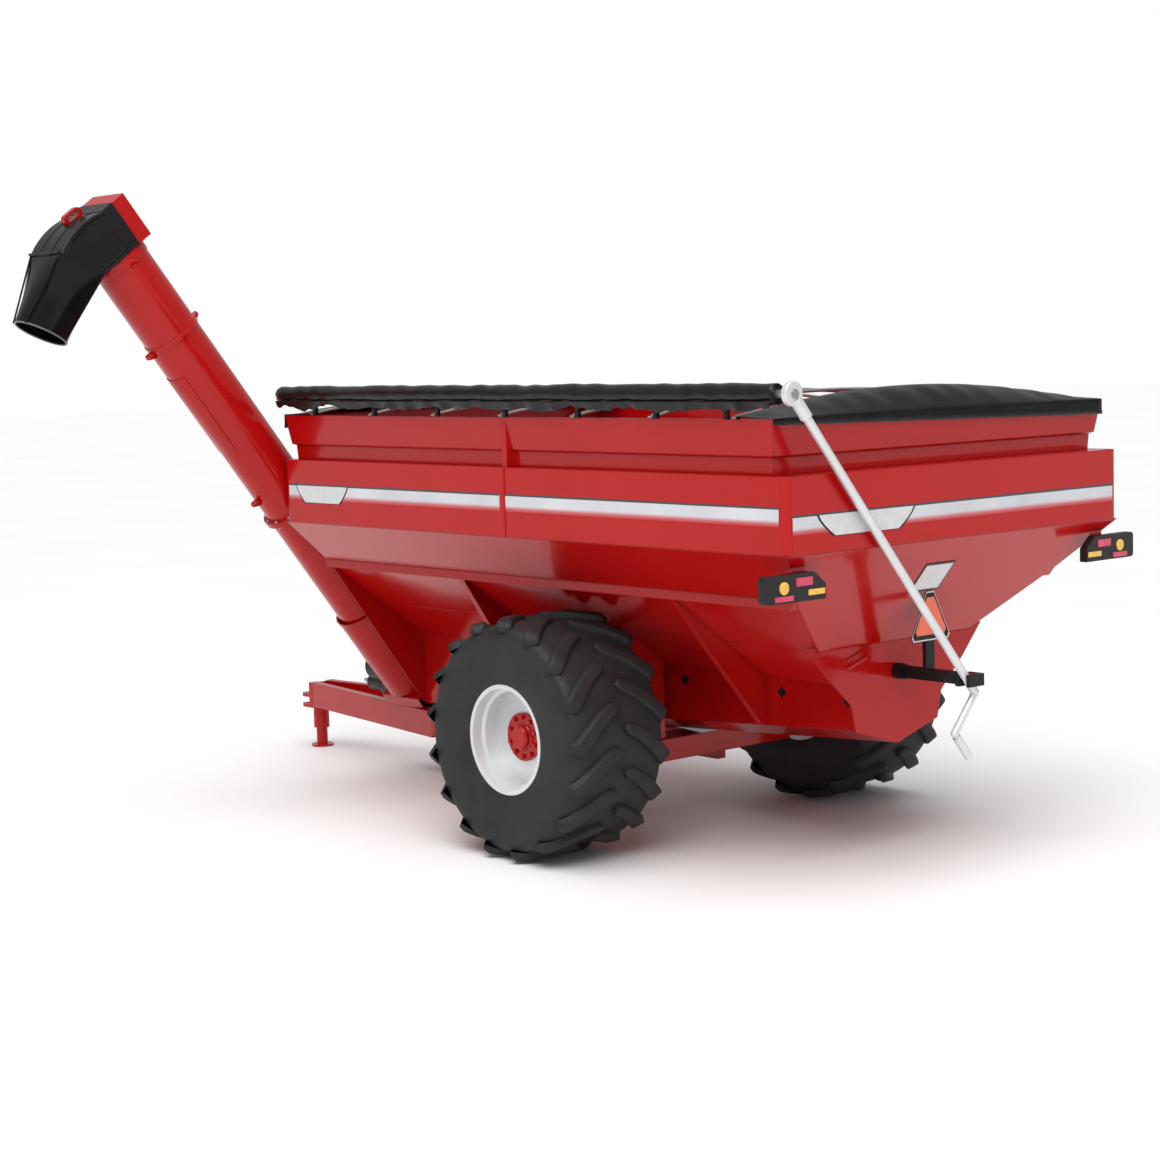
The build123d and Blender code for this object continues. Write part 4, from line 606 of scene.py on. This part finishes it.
def wall_plate(name, corners, thick, material):
    """A plate on the rear wall: a grid between four (y, z) corners, closed round its edges."""
    c = np.asarray(corners, float)
    u = np.linspace(0, 1, 9)[:, None, None]
    v = np.linspace(0, 1, 9)[None, :, None]
    yz = (c[0] * (1 - u) * (1 - v) + c[1] * u * (1 - v) + c[2] * u * v + c[3] * (1 - u) * v)
    top = on_rear_wall(yz[..., 0], yz[..., 1], thick)
    foot = on_rear_wall(yz[..., 0], yz[..., 1], -0.001)
    full = np.pad(top, ((1, 1), (1, 1), (0, 0)), mode="edge")
    base = np.pad(foot, ((1, 1), (1, 1), (0, 0)), mode="edge")
    full[[0, -1]], full[:, [0, -1]] = base[[0, -1]], base[:, [0, -1]]
    return piece(name, surface(full), "chassis", material, smooth=False)


wall_plate("reflector_border", [(-0.235, 2.088), (0.095, 2.088), (0.095, 2.312),
                                (-0.235, 2.312)], 0.003, BLACK)
wall_plate("reflector_plate", [(-0.218, 2.104), (0.078, 2.104), (0.078, 2.296),
                               (-0.218, 2.296)], 0.006, WHITE_FILM)


def diamond(name, x, sign):
    """A small black diamond on the trough's side."""
    z, half = 1.26, 0.048
    corner = np.array([[(0, -half), (half, 0)], [(-half, 0), (0, half)]])
    grid = spot(x + corner[..., 0], sign * 0.4116, z + corner[..., 1])
    points, quads = surface(grid)
    piece(name, (points, quads[:, ::-1] if sign < 0 else quads), "chassis", BLACK,
          smooth=False)


for i, x in enumerate((0.32, 1.40, 2.08)):
    for side, sign in (("left", -1), ("right", 1)):
        diamond(f"trough_mark_{side}_{i + 1}", x, sign)


def sign_edge():
    """White line just inside the sign's edge: the outline drawn twice, one inside the other."""
    def outline(shrink):
        tip, low = 2.080 - shrink, 1.710 + shrink
        half, cut = 0.215 - shrink, 0.034
        ratio = half / (tip - low + cut)
        return np.array([(-half + cut / 2, low), (half - cut / 2, low), (half, low + cut),
                         (cut * ratio + 0.022, tip), (-cut * ratio - 0.022, tip),
                         (-half, low + cut)])
    rows = []
    for shrink in (0.003, 0.013):
        yz = outline(shrink)
        rows.append(spot(2.5464, yz[:, 0], yz[:, 1]))
    piece("sign_line", surface(np.stack(rows), wrap_v=True), "chassis", WHITE_FILM,
          smooth=False)


sign_edge()

# ---------------------------------------------------------------- auger details
AUGER_FOOT = spot(-3.480, -0.300, 0.903)
UP = np.array([0.0, -0.6, 0.8])         # along the tube
OUT = np.array([0.0, -0.8, -0.6])       # away from the tank, across the tube
BACK = np.array([1.0, 0.0, 0.0])
FOLD = 2.130
CLAMP = 4.060
FOLD_BOLTS = {"count": 12, "ring_r": 0.264, "head_r": 0.014, "head_h": 0.014}
BANDS = (       # name, radius, half the angle covered, start and end along, body, thickness
    ("foot_cover", 0.268, 1.75, 0.03, 0.93, "chassis", 0.006),
    ("foot_cover_band", 0.274, 1.75, 0.895, 0.935, "chassis", 0.010),
    ("tube_doubler", 0.248, 0.62, 2.95, 3.75, "upper_auger", 0.010),
    ("clamp_ring", 0.249, math.pi, CLAMP - 0.025, CLAMP + 0.025, "upper_auger", 0.010),
    ("head_ring", 0.250, math.pi, 4.80, 4.885, "upper_auger", 0.012),
)


def on_auger(x, out, along):
    """Points by distance back, out and up along the auger."""
    x, out, along = (np.asarray(a, float)[..., None] for a in np.broadcast_arrays(x, out, along))
    return AUGER_FOOT + x * BACK + out * OUT + along * UP


def tube_band(name, radius, a0, a1, s0, s1, body, thick):
    """Part of a cylinder about the auger: angles from the outward side, lengths along it."""
    a = np.linspace(a0, a1, 41)[:, None]
    s = np.linspace(s0, s1, 3)[None, :]
    grid = on_auger(radius * np.sin(a) + 0 * s, radius * np.cos(a) + 0 * s, s + 0 * a)
    band = piece(name, surface(grid), body, RED_SMALL)
    add_modifier(band, "SOLIDIFY", thickness=thick, offset=0.0)
    add_modifier(band, "BEVEL", width=0.0015, segments=2)


def bolt_ring(name, along, direction, body):
    """Hexagon heads in a ring round the tube, each a six-sided bar with flat ends."""
    heads = []
    radius, head_r, head_h = (FOLD_BOLTS[key] for key in ("ring_r", "head_r", "head_h"))
    for i in range(FOLD_BOLTS["count"]):
        a = 2 * math.pi * (i + 0.5) / FOLD_BOLTS["count"]
        start = on_auger(radius * math.sin(a), radius * math.cos(a), along)
        steps = np.array([0.0, 0.75 * head_h, head_h])[:, None] * direction * UP
        heads.append(tube(start + steps, [head_r, head_r, head_r - 0.003], sides=6))
    return piece(name, together(heads), body, STEEL, smooth=False)


def auger_details():
    """Cover, doubler, clamp rings and bolts of the two tubes."""
    for name, radius, half_turn, s0, s1, body, thick in BANDS:
        tube_band(name, radius, -half_turn, half_turn, s0, s1, body, thick)
    for name, a, s in (("lug_outer", 0.0, CLAMP), ("lug_inner", math.pi, CLAMP),
                       ("lug_fold", 0.0, 2.42)):
        direction = np.array([math.sin(a), math.cos(a)])
        low = on_auger(0.0, 0.24 * direction[1], s - 0.035)
        high = on_auger(0.0, 0.315 * direction[1], s - 0.012)
        path = np.linspace(low, high, 4)
        lug = piece(name, tube(path, [0.034, 0.034, 0.030, 0.022], sides=14), "upper_auger",
                    RED_SMALL)
    bolt_ring("fold_bolts_upper", FOLD + 0.0245, 1.0, "upper_auger")
    bolt_ring("fold_bolts_lower", FOLD - 0.0240, -1.0, "chassis")


auger_details()

# ---------------------------------------------------------------- hood and spout details
HOOD_OUT_TOP, HOOD_OUT_LOW = np.array([0.510, 5.280]), np.array([0.317, 4.900])
HOOD_CROWN, HOOD_BACK = np.array([0.270, 5.345]), np.array([0.0, 5.310])
COVER_HALF, COVER_TOP, COVER_LOW, COVER_RUN = 0.2535, 5.3135, 4.905, 0.125
SPOUT_REACH = 0.615
MOUTH = (0.196, 0.226)      # half widths of the spout's lip
LIP_R = (0.009, 0.007)      # half height and half depth of the rolled lip


def circle_through(a, b, c, count):
    """Points along the arc from a through b to c."""
    m = 2 * np.array([b - a, c - a])
    centre = np.linalg.solve(m, np.array([b @ b - a @ a, c @ c - a @ a]))
    turn = [math.atan2(*(p - centre)[::-1]) for p in (a, c)]
    radius = np.linalg.norm(a - centre)
    t = np.linspace(*turn, count)
    return centre + radius * np.stack([np.cos(t), np.sin(t)], -1)


def hood_details():
    """Seams along the hood's crown, a strip round its sides, a cover that runs back over the
    head and a double flange at the hood's foot."""
    crown = circle_through(HOOD_BACK, HOOD_CROWN, HOOD_OUT_TOP, 24)
    seams = [tube(on_auger(x, crown[:, 0], crown[:, 1] + 0.001), 0.006, sides=8)
             for x in (-0.095, 0.095)]
    piece("hood_seams", together(seams), "upper_auger", HOOD_BLACK)
    for name, lift in (("crown_strip_left", -0.252), ("crown_strip_right", 0.252)):
        inner = crown - np.array([0.03, 0.062]) * np.linspace(0.6, 1, 24)[:, None]
        rows = [on_auger(lift, crown[:, 0], crown[:, 1]),
                on_auger(lift * 1.012, crown[:, 0], crown[:, 1]),
                on_auger(lift * 1.012, inner[:, 0], inner[:, 1]),
                on_auger(lift * 0.99, inner[:, 0], inner[:, 1])]
        piece(name, surface(np.stack(rows, 1)), "upper_auger", HOOD_BLACK)
    half, top, low = COVER_HALF, COVER_TOP, COVER_LOW
    x = np.array([-half, -half, -half, half, half, half])[:, None]
    along = np.array([low, 5.1, top, top, 5.1, low])[:, None]
    back = np.linspace(0.0, -COVER_RUN, 3)[None, :]
    cover = piece("head_cover", surface(on_auger(x, back, along)), "upper_auger", HOOD_BLACK,
                  smooth=False)
    add_modifier(cover, "SOLIDIFY", thickness=0.003, offset=0.0)
    edge = np.linspace(0, 1, 12)[:, None]
    foot = HOOD_OUT_LOW * edge + np.array([0.0, 4.900]) * (1 - edge)
    bars = []
    for x in (-0.252, 0.252):
        for rise in (0.012, 0.045):
            bars.append(tube(on_auger(x, foot[:, 0], foot[:, 1] + rise), 0.007, sides=8))
    piece("hood_flanges", together(bars), "upper_auger", HOOD_BLACK)


def spout_details():
    """Ridges from the hood's corners to the mouth, and a rolled lip round the mouth."""
    rise = HOOD_OUT_TOP - HOOD_OUT_LOW
    up = unit(rise)
    out = np.array([up[1], -up[0]])
    middle = (HOOD_OUT_TOP + HOOD_OUT_LOW) / 2
    t = np.linspace(0, 1, 16)[:, None]
    ridges = []
    for x0, e0, x1, e1 in ((-0.250, 0.5, -0.105, 0.205), (-0.250, -0.5, -0.150, -0.155),
                           (0.250, 0.5, 0.105, 0.205), (0.250, -0.5, 0.150, -0.155)):
        start = middle + rise * e0
        end = middle + out * SPOUT_REACH + up * e1
        line = start * (1 - t) + end * t
        ridges.append(tube(on_auger((x0 * (1 - t) + x1 * t)[:, 0] * 0.985, line[:, 0],
                                    line[:, 1]), 0.008, sides=8))
    piece("spout_ridges", together(ridges), "spout_body", SPOUT_BLACK)
    turn = np.linspace(0, 2 * math.pi, 72, endpoint=False)[:, None]
    small = np.linspace(0, 2 * math.pi, 10, endpoint=False)[None, :]
    a = MOUTH[0] + LIP_R[0] * np.cos(small)
    b = MOUTH[1] + LIP_R[0] * np.cos(small)
    x = a * np.cos(turn)
    e = b * np.sin(turn)
    depth = SPOUT_REACH - 0.004 + LIP_R[1] * np.sin(small) + 0 * turn
    n = middle[0] + out[0] * depth + up[0] * e
    s = middle[1] + out[1] * depth + up[1] * e
    piece("spout_lip", surface(on_auger(x, n, s), wrap_u=True, wrap_v=True), "spout_body",
          LIP_GREY)


hood_details()
spout_details()


# ---------------------------------------------------------------- camera, light, floor
VIEW_PLACE = (19.345, -12.979, 3.539)
VIEW_TURN = (-49.25, 5.93, -1.64)       # yaw, pitch down and roll, degrees
VIEW_LENS = 71.27
SKY, BACKDROP = 0.48, 1.0               # strength of the sky as light, and as seen
FLOOR_REACH = 120.0


def add_camera():
    """Camera behind and to the left of the cart, low, with a slight roll."""
    place = VIEW_PLACE
    yaw, pitch, roll = (math.radians(a) for a in VIEW_TURN)
    ahead = np.array([math.cos(pitch) * math.sin(yaw), math.cos(pitch) * math.cos(yaw),
                      -math.sin(pitch)])
    right = np.array([math.cos(yaw), -math.sin(yaw), 0.0])
    up = np.cross(right, ahead)
    right2 = right * math.cos(roll) + up * math.sin(roll)
    up2 = -right * math.sin(roll) + up * math.cos(roll)
    data = bpy.data.cameras.new("view")
    data.lens, data.sensor_width = VIEW_LENS, 36.0
    data.clip_end = 200.0
    cam = bpy.data.objects.new("view", data)
    bpy.context.scene.collection.objects.link(cam)
    rows = [[right2[i], up2[i], -ahead[i], place[i]] for i in range(3)] + [[0, 0, 0, 1]]
    cam.matrix_world = Matrix(rows)
    bpy.context.scene.camera = cam


def add_area(name, place, aim, size, power):
    """A square soft light that points at a place."""
    data = bpy.data.lights.new(name, "AREA")
    data.size, data.energy = size, power
    lamp = bpy.data.objects.new(name, data)
    bpy.context.scene.collection.objects.link(lamp)
    back = unit(np.asarray(place, float) - aim)
    side = unit(np.cross((0, 0, 1), back))
    up = np.cross(back, side)
    rows = [[side[i], up[i], back[i], place[i]] for i in range(3)] + [[0, 0, 0, 1]]
    lamp.matrix_world = Matrix(rows)


def add_sun(name, toward, spread, strength):
    """A broad, even light from one side of the sky."""
    data = bpy.data.lights.new(name, "SUN")
    data.angle, data.energy = math.radians(spread), strength
    lamp = bpy.data.objects.new(name, data)
    bpy.context.scene.collection.objects.link(lamp)
    lamp.rotation_euler = Vector(toward).to_track_quat("Z", "Y").to_euler()


def add_floor():
    """A wide pale floor under the wheels."""
    s = Shader("pale_floor")
    tone = s.spread(s.noise(0.4, 3.0), 0.0, 1.0)
    material = s.finish(Base_Color=s.mix(tone, (0.86, 0.86, 0.86), (0.89, 0.89, 0.89)),
                        Roughness=0.5)
    reach = FLOOR_REACH
    mesh = bpy.data.meshes.new("floor")
    z = GROUND - 0.001
    mesh.from_pydata([(-reach, -reach, z), (reach, -reach, z), (reach, reach, z),
                      (-reach, reach, z)], [], [(0, 1, 2, 3)])
    mesh.materials.append(material)
    floor = bpy.data.objects.new("floor", mesh)
    bpy.context.scene.collection.objects.link(floor)


def add_sky():
    """Even white light from all round, with a plain white backdrop where it is looked at."""
    world = bpy.data.worlds.new("studio")
    bpy.context.scene.world = world
    world.use_nodes = True
    tree = world.node_tree
    soft, backdrop = tree.nodes["Background"], tree.nodes.new("ShaderNodeBackground")
    for node, strength in ((soft, SKY), (backdrop, BACKDROP)):
        node.inputs[0].default_value, node.inputs[1].default_value = (1.0, 1.0, 1.0, 1.0), strength
    chooser = tree.nodes.new("ShaderNodeMixShader")
    path = tree.nodes.new("ShaderNodeLightPath")
    tree.links.new(path.outputs["Is Camera Ray"], chooser.inputs[0])
    tree.links.new(soft.outputs[0], chooser.inputs[1])
    tree.links.new(backdrop.outputs[0], chooser.inputs[2])
    tree.links.new(chooser.outputs[0], tree.nodes["World Output"].inputs[0])


add_camera()
add_floor()
add_sky()
add_sun("overhead", (0.25, -0.30, 1.0), 60.0, 2.6)
add_area("key", (14.0, -9.0, 12.0), (4.5, 0.0, 1.5), 8.0, 700.0)
bpy.context.scene.view_settings.view_transform = "Standard"
